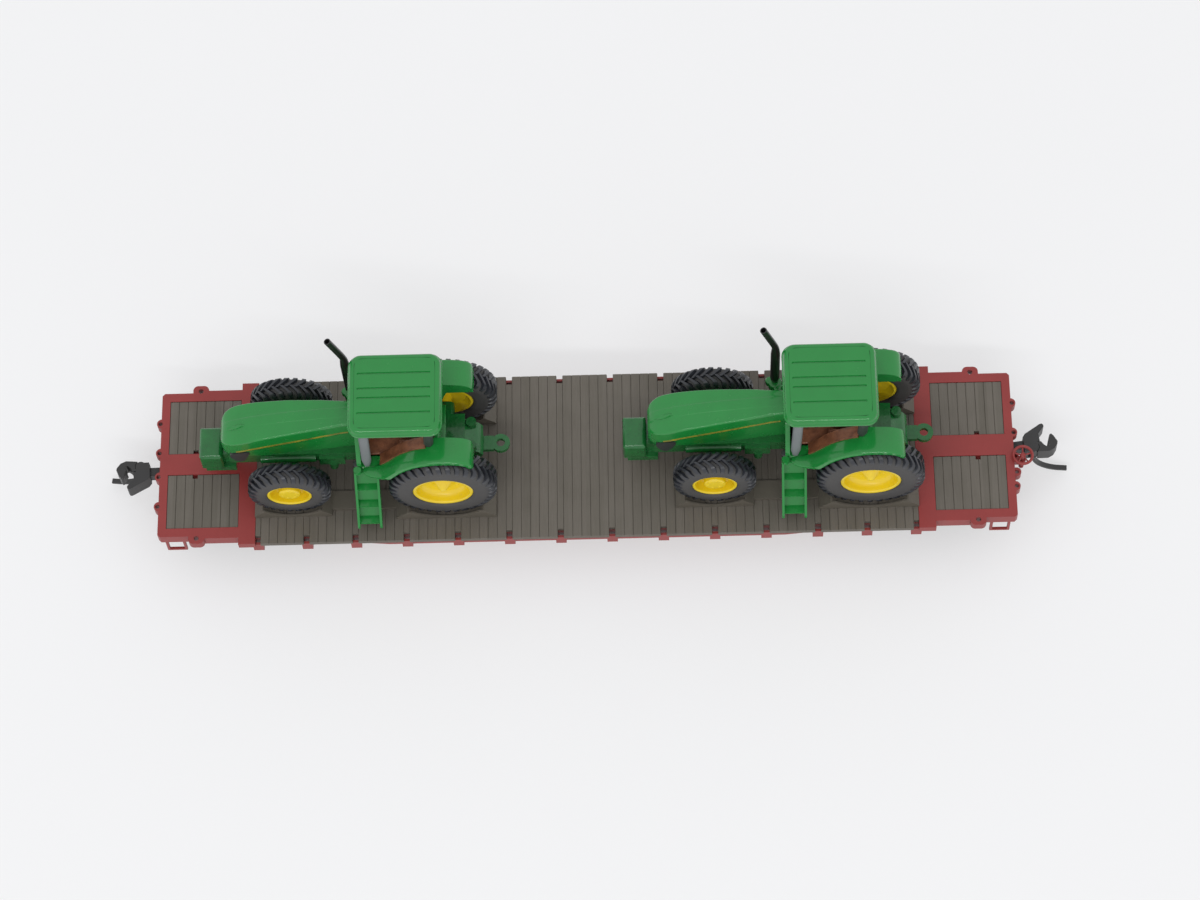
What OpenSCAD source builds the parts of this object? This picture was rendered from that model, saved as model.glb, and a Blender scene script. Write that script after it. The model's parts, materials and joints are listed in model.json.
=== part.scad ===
// Model flat car, 1:160, carrying two farm tractors in wheel cradles.
// Millimetres. Origin: middle of the car, at the foot of the wheel flanges.
// +X runs to the handbrake end, +Y to the side away from the cab steps, +Z up.

/* [Car body] */
// Length of the body over its two end sills
body_l = 101.9; // [96:0.1:123]
// Width of the deck over the plank ends
body_w = 21.0; // [19.2:0.1:25.2]
// Height of the deck top above the foot of the flanges
deck_h = 8.0; // [7.9:0.1:9.6]
// Thickness of the deck planks
deck_t = 0.67; // [0.56:0.01:0.8]
// Length of each end platform beyond the bolster
end_l = 9.65; // [9.3:0.05:11.5]
// Width of the red bolster strip between deck and end platform
bolster_l = 2.0; // [1.7:0.05:2.4]
// How much each side of the end platform is narrower than the deck
end_inset = 0.85; // [0.65:0.05:1.1]
// Height of the side rims of the end platform
rim_h = 1.6; // [1.4:0.05:2.0]
// Width of the end platform's side rims
rim_w = 1.07; // [0.9:0.01:1.2]
// Width of the end sill seen from above
end_sill_w = 1.0; // [0.85:0.01:1.2]
// Width of the beam along the middle of the end platform
mid_beam_w = 2.7; // [2.5:0.05:3.2]
// Deepest point of the fishbelly sills above the foot of the flanges
belly_z = 4.5; // [4.3:0.05:5.2]

/* [Planks and stake pockets] */
// Pitch of the two outer pockets at each end
outer_pitch = 5.82; // [4.9:0.01:6.6]
// Half of the width of a stake pocket's slot
slot_half = 0.36; // [0.3:0.01:0.43]
// Depth of a stake pocket's slot across the car
slot_depth = 0.53; // [0.45:0.01:0.6]
// Width of the narrow plank at each pocket
narrow_plank = 0.74; // [0.7:0.01:0.88]
// Planks between two narrow planks
bay_planks = 5; // [4:1:6]
// Width of the groove between planks
groove_w = 0.07; // [0.05:0.01:0.1]
// Depth of the groove between planks
groove_d = 0.1; // [0.06:0.01:0.14]

/* [Running gear] */
// Tread radius of a wheel
tread_r = 2.62; // [2.2:0.01:2.7]
// Height of the flange above the tread
flange_h = 0.58; // [0.48:0.01:0.62]
// Distance between the backs of a pair of wheels
back_to_back = 7.6; // [7.2:0.05:8]
// Width of a wheel
wheel_w = 1.75; // [1.5:0.01:2]
// Wheelbase of a truck
truck_base = 11.0; // [10.4:0.1:11.6]
// Distance from the end sill to the truck centre
truck_inset = 10.6; // [10.2:0.05:11.2]
// Half of the distance between the two side frames' inner faces
frame_y = 6.2; // [6.0:0.05:6.6]
// Thickness of a side frame
frame_t = 1.0; // [0.8:0.05:1.2]
// Radius of the pin that holds a truck
kingpin_r = 0.8; // [0.66:0.01:0.96]

/* [Couplers] */
// Distance from the end sill's face to the coupler's pivot
pivot_inset = 3.45; // [3.3:0.05:3.8]
// Half of the width of the coupler's shank
shank_half = 0.55; // [0.45:0.01:0.66]
// Height of the shank
shank_h = 1.2; // [1:0.05:1.3]
// Height of the coupler's head
head_h = 2.1; // [1.9:0.05:2.2]
// How far the coupler at the plain end has swung at rest, in degrees
swing_a = 2; // [-4:1:8]
// How far the coupler at the handbrake end has swung at rest, in degrees
swing_b = 7; // [-4:1:8]

/* [Load] */
// Rear axle of the first tractor from the middle of the car
load_1_x = -16.53; // [-18:0.01:-16]
// Rear axle of the second tractor from the middle of the car
load_2_x = 33.48; // [32:0.01:35]
// Wheelbase of a tractor
tractor_base = 18.2; // [17.6:0.1:18.6]
// Radius of a rear tyre
rear_r = 6.35; // [5.3:0.01:6.6]
// Width of a rear tyre
rear_w = 3.2; // [2.7:0.05:3.3]
// Outer face of a rear tyre from the middle plane
rear_y = 7.45; // [7.2:0.05:8.2]
// Radius of a front tyre
front_r = 4.9; // [4.1:0.01:5.2]
// Width of a front tyre
front_w = 2.75; // [2.3:0.05:3]
// Outer face of a front tyre from the middle plane
front_y = 6.85; // [6.4:0.05:7.6]
// Height of the wheel cradle's chocks
chock_h = 1.75; // [1.4:0.05:2.1]
// Height of the cab roof's top above the deck
roof_z = 18.9; // [18.6:0.1:20]

/* [Fits] */
// Radial clearance of a shaft that turns in a hole
run_gap = 0.05; // [0.02:0.01:0.09]
// Gap beside a part that is laid into a recess
lay_gap = 0.04; // [0.02:0.01:0.08]
// Gap between a tyre and the cradle or the deck
tyre_gap = 0.1; // [0.06:0.01:0.2]

/* [Hidden] */
$fn = 48;
eps = 0.01;
red = "#8f3b3a";
wood = "#676259";
black = "#2b2b2d";
green = "#2f8a45";
yellow = "#e6cf2a";
tyre_blue = "#3a3d42";

// Body lines
half_l = body_l / 2;
half_w = body_w / 2;
plat_x = half_l - end_l;                 // where the end platform starts
main_x = plat_x - bolster_l - lay_gap;   // end of the main deck
under_z = deck_h - deck_t;               // underside of the deck
plate_t = 0.4;                           // thickness of the floor plates
high_z = under_z - plate_t;              // underside of the floor over the trucks
low_z = high_z - 0.73;                   // underside of the floor under the weight
rim_z = deck_h - rim_h;                  // lower edge of the end platform
sill_y = half_w - 1.0;                   // outer face of the side sills
sill_t = 0.8;
truck_x = half_l - truck_inset;
flange_r = tread_r + flange_h;
axle_z = flange_r;
weight_x = truck_x - 11.4;               // half of the weight's length
tray_x = weight_x + lay_gap;
centre_sill_y = mid_beam_w / 2;

// Stake pockets along one side, from the middle outwards
pocket_last = main_x - 0.25;
inner_pitch = (pocket_last - 2 * outer_pitch) / 4.5;
pockets = [for (i = [0:4]) inner_pitch * (i + 0.5), pocket_last - outer_pitch, pocket_last];
all_pockets = concat([for (i = [6:-1:0]) -pockets[i]], pockets);
pocket_wall = 0.29;
slot_y = sill_y + 0.02;
pocket_y = slot_y + slot_depth + pocket_wall;
pocket_half = slot_half + 0.26;

// Every groove of the main deck
bay_grooves = [for (i = [0:12], k = [0:bay_planks])
    all_pockets[i] + narrow_plank / 2
    + k * (all_pockets[i + 1] - all_pockets[i] - narrow_plank) / bay_planks];

// End platform: its outline steps in at the pocket, and its corners are cut
taper_x0 = plat_x + 4.9;
taper_x1 = plat_x + 5.6;
taper = 0.29;
corner = 0.3;
lug_x = plat_x + 5.0;                    // middle of the pocket on the platform's side
lug_y = half_w - 0.9;
end_lugs = [1.55, 5.4];                  // lugs on the end sill, from the middle plane
end_lug_r = 0.6;
end_lug_hole = 0.26;
lug_hole = 0.3;

// Sill steps
step_l = 2.4;
step_drop = 2.5;
step_bar = 0.34;

// End panels
panel_x0 = plat_x + 0.05;
panel_x1 = half_l - end_sill_w;
panel_y0 = mid_beam_w / 2;
panel_y1 = half_w - end_inset - taper - rim_w;

// Trucks
journal_r = 0.35;
axle_r = 0.5;
frame_out = frame_y + frame_t;
cap_y = frame_out + 0.4;
journal_y = frame_y + 0.7;
wheel_y = back_to_back / 2;
transom_z = 4.1;
transom_top = high_z - 1.75;
transom_half = 1.9;
post_z = transom_top + 0.08;             // foot of the body's centre post
post_r = 2.0;
kingpin_top = high_z - 0.1;

// Couplers, in a frame with the pivot at the origin and x outwards
pivot_x = half_l - pivot_inset;
box_wall = 0.35;
box_half = 1.7;
box_top = high_z;
shank_top = box_top - 0.58;
shank_z = shank_top - shank_h;
box_in_z = shank_z - 0.1;
lid_t = 0.4;
lid_z = box_in_z - lid_t;
box_back = -2.9;
post_out = 0.6;
screw_r = 0.28;
eye_r = 1.15;
head_z = shank_z - (head_h - shank_h) / 2;
head_top = head_z + head_h;
lug_t = 0.34;
knuckle_p = [5.95, -0.62];               // the knuckle's own pivot
knuckle_r = 0.6;
knuckle_pin_r = 0.2;
trip_y = -0.75;
trip_w = 0.6;
trip_t = 0.36;
trip_r = 3.62;
trip_x = 6.0;
trip_tail = 0.93;
trip_turn = -10;                         // the pin's tail leans away from the guard arm

// Handbrake
hand_x = half_l + 1.0;
hand_y = -1.65;
hand_z = deck_h + 0.3;
hand_r = 1.3;
staff_r = 0.2;

// Tractors, in a frame with the rear axle at x = 0, the deck at z = 0 and the front at -x
rear_z = rear_r + tyre_gap;
front_z = front_r + tyre_gap;
front_x = -tractor_base;
rear_rim = 3.55;
front_rim = 2.65;
shaft_r = 0.7;
fender_in = 3.3;
fender_out = 6.65;
fender_r = rear_r + 0.55;
fender_t = 0.5;
belly_y = 1.6;                           // half of the gearbox's and the sump's width
engine_y = 2.3;                          // half of the engine's width
engine_z = 5.4;                          // underside of the engine, above the sump
nose_x = -25.2;                          // front face of the engine
weight_z = [2.9, 6.3];                   // foot and top of the front weight
weight_y = 2.05;
cab_front = -9.4;
cab_rear = -0.3;
cab_y = 4.6;
roof_t = 1.15;
ring_x = 6.63;                           // drawbar ring
exhaust_x = -10.85;
exhaust_y = 5.3;
floor_z = 8.2;
sole_z = floor_z - 0.8;                  // underside of the body, on top of the chassis
sill_x = -1.25;                          // where the cab's side opening ends at the fender

// ---- helpers -------------------------------------------------------------

// The children and their mirror image across the car's middle cross plane
module both_ends() { children(); mirror([1, 0, 0]) children(); }

// The children and their mirror image across the car's middle length plane
module both_sides() { children(); mirror([0, 1, 0]) children(); }

// A flat drawing and its mirror image across the middle line
module both_sides_2d() { children(); mirror([0, 1]) children(); }

// A box from one corner to the opposite one
module block(a, b) { translate(a) cube(b - a); }

// A drawing in x and z, pushed out along y from y0 to y1
module wall_xz(y0, y1) {
    translate([0, y1, 0]) rotate([90, 0, 0]) linear_extrude(y1 - y0) children();
}

// A drawing in y and z, pushed out along x from x0 to x1
module wall_yz(x0, x1) {
    translate([x0, 0, 0]) rotate([90, 0, 90]) linear_extrude(x1 - x0) children();
}

// A round bar along y from y0 to y1
module bar_y(r, y0, y1) { translate([0, y1, 0]) rotate([90, 0, 0]) cylinder(r = r, h = y1 - y0); }

// A round bar along x from x0 to x1
module bar_x(r, x0, x1) { translate([x0, 0, 0]) rotate([0, 90, 0]) cylinder(r = r, h = x1 - x0); }

// A rectangle with round corners
module round_rect(a, b, r) {
    translate(a + [0, r]) square(b - a - [0, 2 * r]);
    translate(a + [r, 0]) square(b - a - [2 * r, 0]);
    for (x = [a[0] + r, b[0] - r], y = [a[1] + r, b[1] - r]) translate([x, y]) circle(r);
}

// A plate in x and z whose top has a groove at each place in the list
function grooved(x0, x1, z0, z1, places) = concat(
    [[x0, z0], [x0, z1]],
    [for (g = places) if (g > x0 + groove_w && g < x1 - groove_w)
        for (c = [[-1, 0], [-1, 1], [1, 1], [1, 0]]) [g + c[0] * groove_w / 2, z1 - c[1] * groove_d]],
    [[x1, z1], [x1, z0]]);

// ---- car body ------------------------------------------------------------

// Outline of an end platform, seen from above
module platform_outline(shrink = 0) {
    x1 = half_l - shrink;
    w0 = half_w - end_inset - shrink;
    w1 = w0 - taper;
    polygon([[plat_x - eps, -w0], [taper_x0, -w0], [taper_x1, -w1], [x1 - corner, -w1],
        [x1, -w1 + corner], [x1, w1 - corner], [x1 - corner, w1], [taper_x1, w1], [taper_x0, w0],
        [plat_x - eps, w0]]);
}

// Recess for one end panel
module panel_shape() {
    translate([panel_x0, panel_y0]) square([panel_x1 - panel_x0, panel_y1 - panel_y0]);
}

// End platform: plate, rims, lugs and the seat of the draft box
module end_platform() {
    difference() {
        union() {
            translate([0, 0, high_z]) linear_extrude(deck_h - high_z) platform_outline();
            difference() {
                translate([0, 0, rim_z]) linear_extrude(high_z - rim_z + eps) platform_outline();
                translate([0, 0, rim_z - 1]) linear_extrude(high_z - rim_z + 1)
                    intersection() {
                        platform_outline(rim_w);
                        translate([0, -half_w]) square([half_l - end_sill_w, body_w]);
                    }
            }
            both_sides() {
                translate([0, 0, rim_z + 0.4]) linear_extrude(rim_h - 0.4)
                    side_lug_outline();
                for (y = end_lugs) translate([half_l - 0.05, y, rim_z + 0.3])
                    cylinder(r = end_lug_r, h = rim_h - 0.3);
            }
        }
        both_sides() {
            translate([0, 0, under_z]) linear_extrude(2) panel_shape();
            translate([lug_x, lug_y, -1]) cylinder(r = lug_hole, h = 12);
            for (y = end_lugs) translate([half_l + 0.12, y, -1]) cylinder(r = end_lug_hole, h = 12);
        }
        block([half_l - 4, -box_half - lay_gap, rim_z - 1], [half_l + 1, box_half + lay_gap, high_z]);
        translate([pivot_x, 0, high_z - 1]) cylinder(r = screw_r, h = 1.6);
    }
}

// Outline of the pocket on the side of the end platform
module side_lug_outline() {
    r = 0.6;
    half = 0.95;
    translate([lug_x - half, half_w - 1.9]) square([2 * half, 1.2]);
    for (s = [-1, 1]) translate([lug_x + s * (half - r), half_w - 0.8]) circle(r);
    translate([lug_x - half + r, half_w - 1.4]) square([2 * (half - r), 1.2]);
}

// One stake pocket hung on the side sill
module stake_pocket(x) {
    difference() {
        block([x - pocket_half, sill_y - eps, under_z - 1.7], [x + pocket_half, pocket_y, under_z]);
        block([x - slot_half, slot_y, under_z - 3], [x + slot_half, slot_y + slot_depth, under_z + 1]);
    }
}

module underframe() {
    deep_x = 0.6 * main_x;
    rise_x = deep_x + 7;
    shallow_z = high_z - 1.03;
    sill_end = truck_x - 4.4;
    color(red) difference() {
        union() {
            // floor under the weight, and floor over the trucks
            block([-tray_x - 0.6, -sill_y + eps, low_z], [tray_x + 0.6, sill_y - eps, low_z + plate_t]);
            both_ends() {
                block([tray_x, -sill_y + eps, low_z], [tray_x + 0.6, sill_y - eps, under_z]);
                block([tray_x, -sill_y + eps, high_z], [plat_x, sill_y - eps, under_z]);
            }
            // fishbelly side sills
            both_sides() wall_xz(sill_y - sill_t, sill_y)
                polygon([[-plat_x, under_z], [plat_x, under_z], [plat_x, shallow_z],
                    [rise_x, shallow_z], [deep_x, belly_z], [-deep_x, belly_z],
                    [-rise_x, shallow_z], [-plat_x, shallow_z]]);
            // centre sill
            wall_xz(-centre_sill_y, centre_sill_y)
                polygon([[-sill_end, high_z + eps], [-tray_x - 0.3, high_z + eps],
                    [-tray_x - 0.3, low_z + eps], [tray_x + 0.3, low_z + eps],
                    [tray_x + 0.3, high_z + eps], [sill_end, high_z + eps], [rise_x, shallow_z],
                    [deep_x, belly_z], [-deep_x, belly_z], [-rise_x, shallow_z]]);
            // cross bearers
            for (x = [-pockets[3], -pockets[1], pockets[1], pockets[3]])
                wall_yz(x - 0.35, x + 0.35)
                    polygon([[-sill_y + eps, low_z + eps], [-sill_y + eps, low_z - 0.7],
                        [-centre_sill_y, belly_z + 0.3], [centre_sill_y, belly_z + 0.3],
                        [sill_y - eps, low_z - 0.7], [sill_y - eps, low_z + eps]]);
            both_ends() {
                // bolster with its centre post
                wall_yz(main_x + lay_gap, plat_x)
                    polygon([[-half_w, deck_h], [half_w, deck_h], [half_w, high_z],
                        [sill_y - 0.6, rim_z - 0.2], [3, shallow_z], [-3, shallow_z],
                        [-sill_y + 0.6, rim_z - 0.2], [-half_w, high_z]]);
                translate([truck_x, 0, post_z]) cylinder(r = post_r, h = high_z - post_z + eps);
                end_platform();
            }
            both_sides() for (x = all_pockets) stake_pocket(x);
            brake_bracket();
        }
        both_ends() translate([truck_x, 0, post_z - 1])
            cylinder(r = kingpin_r, h = kingpin_top - post_z + 1.1);
        translate([hand_x, hand_y, 0]) cylinder(r = staff_r + run_gap, h = deck_h + 2);
    }
}

// Arm on the end sill that carries the handbrake's staff, and its pawl plate
module brake_bracket() {
    difference() {
        union() {
            block([half_l - 0.3, hand_y - 0.45, rim_z + 0.2],
                [half_l + eps, -box_half - lay_gap, rim_z + 0.8]);
            block([half_l, hand_y - 0.45, rim_z + 0.2], [hand_x, hand_y + 0.45, rim_z + 0.8]);
            translate([hand_x, hand_y, rim_z + 0.2]) cylinder(r = 0.45, h = 0.6);
            translate([half_l + 0.2, hand_y - 1.85, rim_z + 0.2]) cylinder(r = 0.55, h = 1.2);
        }
        translate([half_l + 0.25, hand_y - 1.85, rim_z]) cylinder(r = 0.25, h = 3);
    }
}

module main_deck() {
    color(wood) difference() {
        wall_xz(-half_w, half_w)
            polygon(grooved(-main_x, main_x, under_z, deck_h, bay_grooves));
        both_sides() for (x = all_pockets)
            block([x - slot_half, slot_y - 0.03, under_z - 1], [x + slot_half, half_w + 1, deck_h + 1]);
    }
}

// One end panel: planks across the car in a recess of the platform
module end_panel(sx, sy) {
    count = 8;
    step = (panel_x1 - panel_x0) / count;
    notch_x = panel_x0 + 5 * step - 0.35;
    color(wood) mirror([sx < 0 ? 1 : 0, 0, 0]) mirror([0, sy < 0 ? 1 : 0, 0])
        difference() {
            wall_xz(panel_y0 + lay_gap, panel_y1 - lay_gap)
                polygon(grooved(panel_x0 + lay_gap, panel_x1 - lay_gap, under_z, deck_h - 0.06,
                    [for (i = [1:count - 1]) panel_x0 + i * step]));
            block([notch_x, panel_y0 - 1, under_z - 1], [notch_x + 0.6, panel_y0 + 0.5, deck_h + 1]);
        }
}

module end_panel_1() { end_panel(1, -1); }
module end_panel_2() { end_panel(1, 1); }
module end_panel_3() { end_panel(-1, -1); }
module end_panel_4() { end_panel(-1, 1); }

module ballast_plate() {
    y = sill_y - sill_t - lay_gap;
    color("#777b80") block([-weight_x, -y, low_z + plate_t], [weight_x, y, under_z]);
}

// Sill steps under the four corners: two hangers and a tread each
module sill_steps() {
    y = half_w - end_inset - taper;
    x0 = half_l - 0.75 - step_l;
    color(red) both_ends() both_sides() wall_xz(y - step_bar, y) difference() {
        translate([x0, rim_z - step_drop]) square([step_l, step_drop]);
        translate([x0 + step_bar, rim_z - step_drop + step_bar]) square([step_l - 2 * step_bar, step_drop]);
    }
}

module brake_wheel() {
    color(red) translate([hand_x, hand_y, hand_z]) difference() {
        union() {
            rotate_extrude() translate([hand_r - 0.2, 0]) circle(0.2);
            translate([0, 0, -0.22]) cylinder(r = 0.36, h = 0.5);
            for (k = [0:4]) rotate([0, 0, 72 * k]) bar_x(0.12, 0.2, hand_r - 0.15);
        }
        translate([0, 0, -1]) cylinder(r = staff_r, h = 1.15);
    }
}

module brake_staff() {
    foot = rim_z - 1.2;
    color(red) {
        translate([hand_x, hand_y, foot]) cylinder(r = staff_r, h = hand_z + 0.15 - foot);
        translate([hand_x, hand_y, rim_z - 0.35]) cylinder(r = 0.36, h = 0.5);
        translate([hand_x, hand_y, foot]) cylinder(r = 0.3, h = 0.3);
    }
}

// ---- brake gear under the floor ------------------------------------------

module brake_cylinder() {
    z = low_z - 1.5;
    color(black) translate([-6.6, -4.7, 0]) {
        translate([0, 0, z]) bar_x(1.2, 0, 3.4);
        translate([0, 0, z]) bar_x(1.35, 3.1, 3.6);
        translate([0, 0, z]) bar_x(0.3, 3.5, 5);
        block([0.6, -0.6, z], [2.8, 0.6, low_z]);
    }
}

module air_reservoir() {
    z = low_z - 1.45;
    color(black) translate([-3.2, 4.8, 0]) {
        translate([0, 0, z]) bar_x(1.25, 0, 6.4);
        for (x = [0, 6.4]) translate([x, 0, z]) intersection() {
            sphere(r = 1.25);
            bar_x(1.3, -0.8, 0.8);
        }
        for (x = [1.2, 4.6]) block([x, -0.9, z], [x + 0.6, 0.9, low_z]);
    }
}

module control_valve() {
    color(black) translate([1.4, -4.8, 0]) {
        block([0, -0.9, low_z - 1.9], [2.4, 0.9, low_z]);
        translate([1.2, 0, low_z - 2.3]) cylinder(r = 0.7, h = 1);
        translate([0, 0, low_z - 1]) bar_x(0.55, -0.6, 0.5);
    }
}

// ---- trucks --------------------------------------------------------------

// Side frame in x and z, with its window and the two triangular openings
module side_frame_shape() {
    j = truck_base / 2;
    z = axle_z;
    difference() {
        polygon([[-j - 1.6, z - 0.6], [-j - 1.6, z + 0.5], [-j - 1, z + 1.1], [-j + 0.9, z + 1.2],
            [-2.9, z + 2.2], [2.9, z + 2.2], [j - 0.9, z + 1.2], [j + 1, z + 1.1],
            [j + 1.6, z + 0.5], [j + 1.6, z - 0.6], [j + 0.9, z - 0.9], [j - 1.1, z - 0.8],
            [2.5, z - 1.7], [-2.5, z - 1.7], [-j + 1.1, z - 0.8], [-j - 0.9, z - 0.9]]);
        translate([-1.8, z - 1.1]) square([3.6, 2.2]);
        for (s = [-1, 1]) polygon([[s * 2.5, z - 1], [s * 2.5, z + 1.5], [s * (j - 1.3), z + 0.6],
            [s * (j - 1.3), z - 0.2]]);
    }
}

module truck_frame(at) {
    j = truck_base / 2;
    color(black) translate([at, 0, 0]) difference() {
        union() {
            both_sides() {
                wall_xz(frame_y, frame_out) side_frame_shape();
                // outer edge of the top chord, spring group and bolster end
                wall_xz(frame_out - eps, frame_out + 0.25)
                    translate([-2.8, axle_z + 1.8]) square([5.6, 0.4]);
                block([-1.5, frame_y - eps, axle_z + 0.1], [1.5, frame_out + 0.3, axle_z + 1.2]);
                for (x = [-1, 0, 1]) translate([x, frame_y + 0.55, axle_z - 1.15])
                    cylinder(r = 0.42, h = 1.4);
                for (x = [-j, j]) translate([x, 0, axle_z]) bar_y(0.95, frame_out - eps, cap_y);
                block([-transom_half, -eps, transom_z], [transom_half, frame_y + 0.1, transom_top]);
            }
            translate([0, 0, transom_z]) cylinder(r = 2.2, h = transom_top - transom_z + 0.03);
        }
        translate([0, 0, transom_z - 1]) cylinder(r = kingpin_r + run_gap, h = 4);
        for (x = [-j, j]) translate([x, 0, axle_z])
            bar_y(journal_r + run_gap, -journal_y - 0.1, journal_y + 0.1);
    }
}

module truck_pin(at) {
    color(black) translate([at, 0, 0]) {
        translate([0, 0, transom_z - 0.4]) cylinder(r = kingpin_r, h = kingpin_top - transom_z + 0.4);
        translate([0, 0, transom_z - 0.45]) cylinder(r = 1.35, h = 0.42);
    }
}

module truck_a_frame() { truck_frame(-truck_x); }
module truck_b_frame() { truck_frame(truck_x); }
module truck_a_pin() { truck_pin(-truck_x); }
module truck_b_pin() { truck_pin(truck_x); }

// A pair of wheels moulded with their axle
module wheelset(x) {
    y0 = wheel_y;
    y1 = wheel_y + wheel_w;
    color(black) translate([x, 0, axle_z]) rotate([90, 0, 0]) rotate_extrude()
        polygon(concat(
            [[0, -journal_y]],
            [for (s = [-1, 1]) each let (half = [[journal_r, journal_y], [journal_r, y1 + 0.35],
                [axle_r + 0.35, y1 + 0.1], [axle_r + 0.5, y1 - 0.45], [tread_r - 0.6, y1 - 0.35],
                [tread_r - 0.45, y1], [tread_r - 0.08, y1], [tread_r, y1 - 0.25],
                [tread_r + 0.03, y0 + 0.6], [flange_r - 0.15, y0 + 0.42], [flange_r, y0 + 0.24],
                [flange_r - 0.12, y0], [tread_r - 0.5, y0], [axle_r + 0.6, y0 + 0.3],
                [axle_r + 0.3, y0 - 0.1], [axle_r, y0 - 0.3]])
                s < 0 ? [for (p = half) [p[0], -p[1]]]
                      : [for (i = [len(half) - 1:-1:0]) half[i]]],
            [[0, journal_y]]));
}

module wheelset_1() { wheelset(truck_x + truck_base / 2); }
module wheelset_2() { wheelset(truck_x - truck_base / 2); }
module wheelset_3() { wheelset(-truck_x + truck_base / 2); }
module wheelset_4() { wheelset(-truck_x - truck_base / 2); }

// ---- couplers ------------------------------------------------------------

// Places its children at a coupler's pivot: end is 1 for the handbrake end, -1 for the plain end
module coupler_place(end, swing = 0) {
    rotate([0, 0, end > 0 ? 0 : 180]) translate([pivot_x, 0, 0]) rotate([0, 0, swing]) children();
}

module draft_box(end) {
    mouth = pivot_inset - 0.05;
    color(red) coupler_place(end) difference() {
        block([box_back, -box_half, box_in_z], [mouth, box_half, box_top]);
        difference() {
            block([box_back + box_wall, -box_half + box_wall, box_in_z - 1],
                [mouth + 1, box_half - box_wall, shank_top + 0.1]);
            cylinder(r = post_out, h = box_top);
        }
        cylinder(r = screw_r, h = box_top + 1);
    }
}

module draft_lid(end) {
    mouth = pivot_inset - 0.05;
    color(red) coupler_place(end) difference() {
        block([box_back, -box_half, lid_z], [mouth, box_half, box_in_z]);
        translate([0, 0, lid_z - 1]) cylinder(r = screw_r, h = 3);
    }
}

module draft_screw(end) {
    color("#8c8f93") coupler_place(end) difference() {
        union() {
            translate([0, 0, lid_z - 0.3]) cylinder(r = screw_r, h = high_z + 0.5 - lid_z + 0.3);
            translate([0, 0, lid_z - 0.38]) cylinder(r = 0.75, h = 0.38);
        }
        block([-1, -0.1, lid_z - 1], [1, 0.1, lid_z - 0.2]);
    }
}

// Fixed part of the head: shank with its eye, guard arm, and two ears for the knuckle
module coupler_head(end, swing) {
    p = knuckle_p;
    color(black) coupler_place(end, swing) {
        difference() {
            union() {
                translate([0, 0, shank_z]) linear_extrude(shank_h) {
                    translate([0, -shank_half]) square([5, 2 * shank_half]);
                    circle(eye_r);
                }
                translate([0, 0, head_z]) linear_extrude(head_h)
                    polygon([[4.85, 0.06], [4.85, 0.8], [5.17, 1.2], [7.15, 2.22], [7.42, 2.24],
                        [7.58, 2.05], [7.56, 1.82], [6.78, 1.0], [6.8, 0.06]]);
                translate([0, 0, head_z]) linear_extrude(head_h)
                    polygon([[4.85, 0.3], [4.85, -0.85], [5.05, -1.1], [5.26, -1.1], [5.26, 0.3]]);
                for (z = [head_z, head_top - lug_t]) translate([0, 0, z]) linear_extrude(lug_t) {
                    translate([4.95, -1.1]) square([1, 1.3]);
                    translate(p) circle(knuckle_r + 0.02);
                    translate([p[0] - eps, -0.4]) square([knuckle_r, 0.6]);
                }
            }
            translate([0, 0, shank_z - 1]) cylinder(r = post_out + run_gap, h = 4);
            translate([trip_x, trip_y, head_z - 1]) rotate([0, 0, trip_turn])
                translate([-trip_t / 2, -trip_w / 2, 0]) cube([trip_t, trip_w, 1 + lug_t - 0.06]);
        }
        translate([p[0], p[1], head_z + lug_t - 0.05])
            cylinder(r = knuckle_pin_r, h = head_h - 2 * lug_t + 0.1);
    }
}

// Knuckle: a hook that turns on the pin between the two ears
module coupler_knuckle(end, swing) {
    p = knuckle_p;
    ear = lug_t + 0.05;
    color(black) coupler_place(end, swing) difference() {
        union() {
            difference() {
                translate([0, 0, head_z]) linear_extrude(head_h)
                    polygon([[6.35, -1.28], [7.7, -1.42], [8.35, -1.15], [8.8, -0.6], [8.88, -0.3],
                        [8.55, 0.45], [8.3, 0.8], [8.05, 0.68], [7.68, -0.24], [7.84, -0.72],
                        [7.66, -0.82], [7.44, -0.72], [7.2, -0.5], [6.9, -0.02], [6.55, -0.04]]);
                translate([p[0], p[1], 0]) cylinder(r = knuckle_r + 0.08, h = deck_h);
            }
            translate([0, 0, head_z + ear]) linear_extrude(head_h - 2 * ear) {
                translate(p) circle(knuckle_r - 0.02);
                translate([p[0], p[1] - 0.55]) square([0.9, 1]);
            }
        }
        translate([p[0], p[1], 0]) cylinder(r = knuckle_pin_r + run_gap, h = deck_h);
    }
}

// Curved pin under the head: a stub in the lower ear, a quarter turn and a straight tail
module coupler_trip(end, swing) {
    last = 86;
    color("#3b3a36") coupler_place(end, swing)
        translate([trip_x, trip_y, head_z]) rotate([0, 0, trip_turn]) {
        translate([-trip_t / 2, -trip_w / 2, -eps]) cube([trip_t, trip_w, lug_t - 0.06 + eps]);
        translate([trip_r, 0, 0]) rotate([-90, 0, 0]) rotate([0, 0, 180 - last])
            rotate_extrude(angle = last)
                translate([trip_r - trip_t / 2, -trip_w / 2]) square([trip_t, trip_w]);
        translate([trip_r, 0, 0]) rotate([0, -last, 0])
            translate([-trip_r - trip_t / 2, -trip_w / 2, -trip_tail])
                cube([trip_t, trip_w, trip_tail + eps]);
    }
}

// Centring spring: a strip bent to a U that lies along the walls of the draft box
module coupler_spring(end) {
    y = box_half - box_wall;
    t = 0.1;
    x0 = box_back + box_wall;
    color("#b08d4a") coupler_place(end) translate([0, 0, shank_z + 0.2]) linear_extrude(shank_h - 0.4)
        difference() {
            translate([x0, -y]) square([5.2, 2 * y]);
            translate([x0 + t, -y + t]) square([5.2, 2 * (y - t)]);
        }
}

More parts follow.
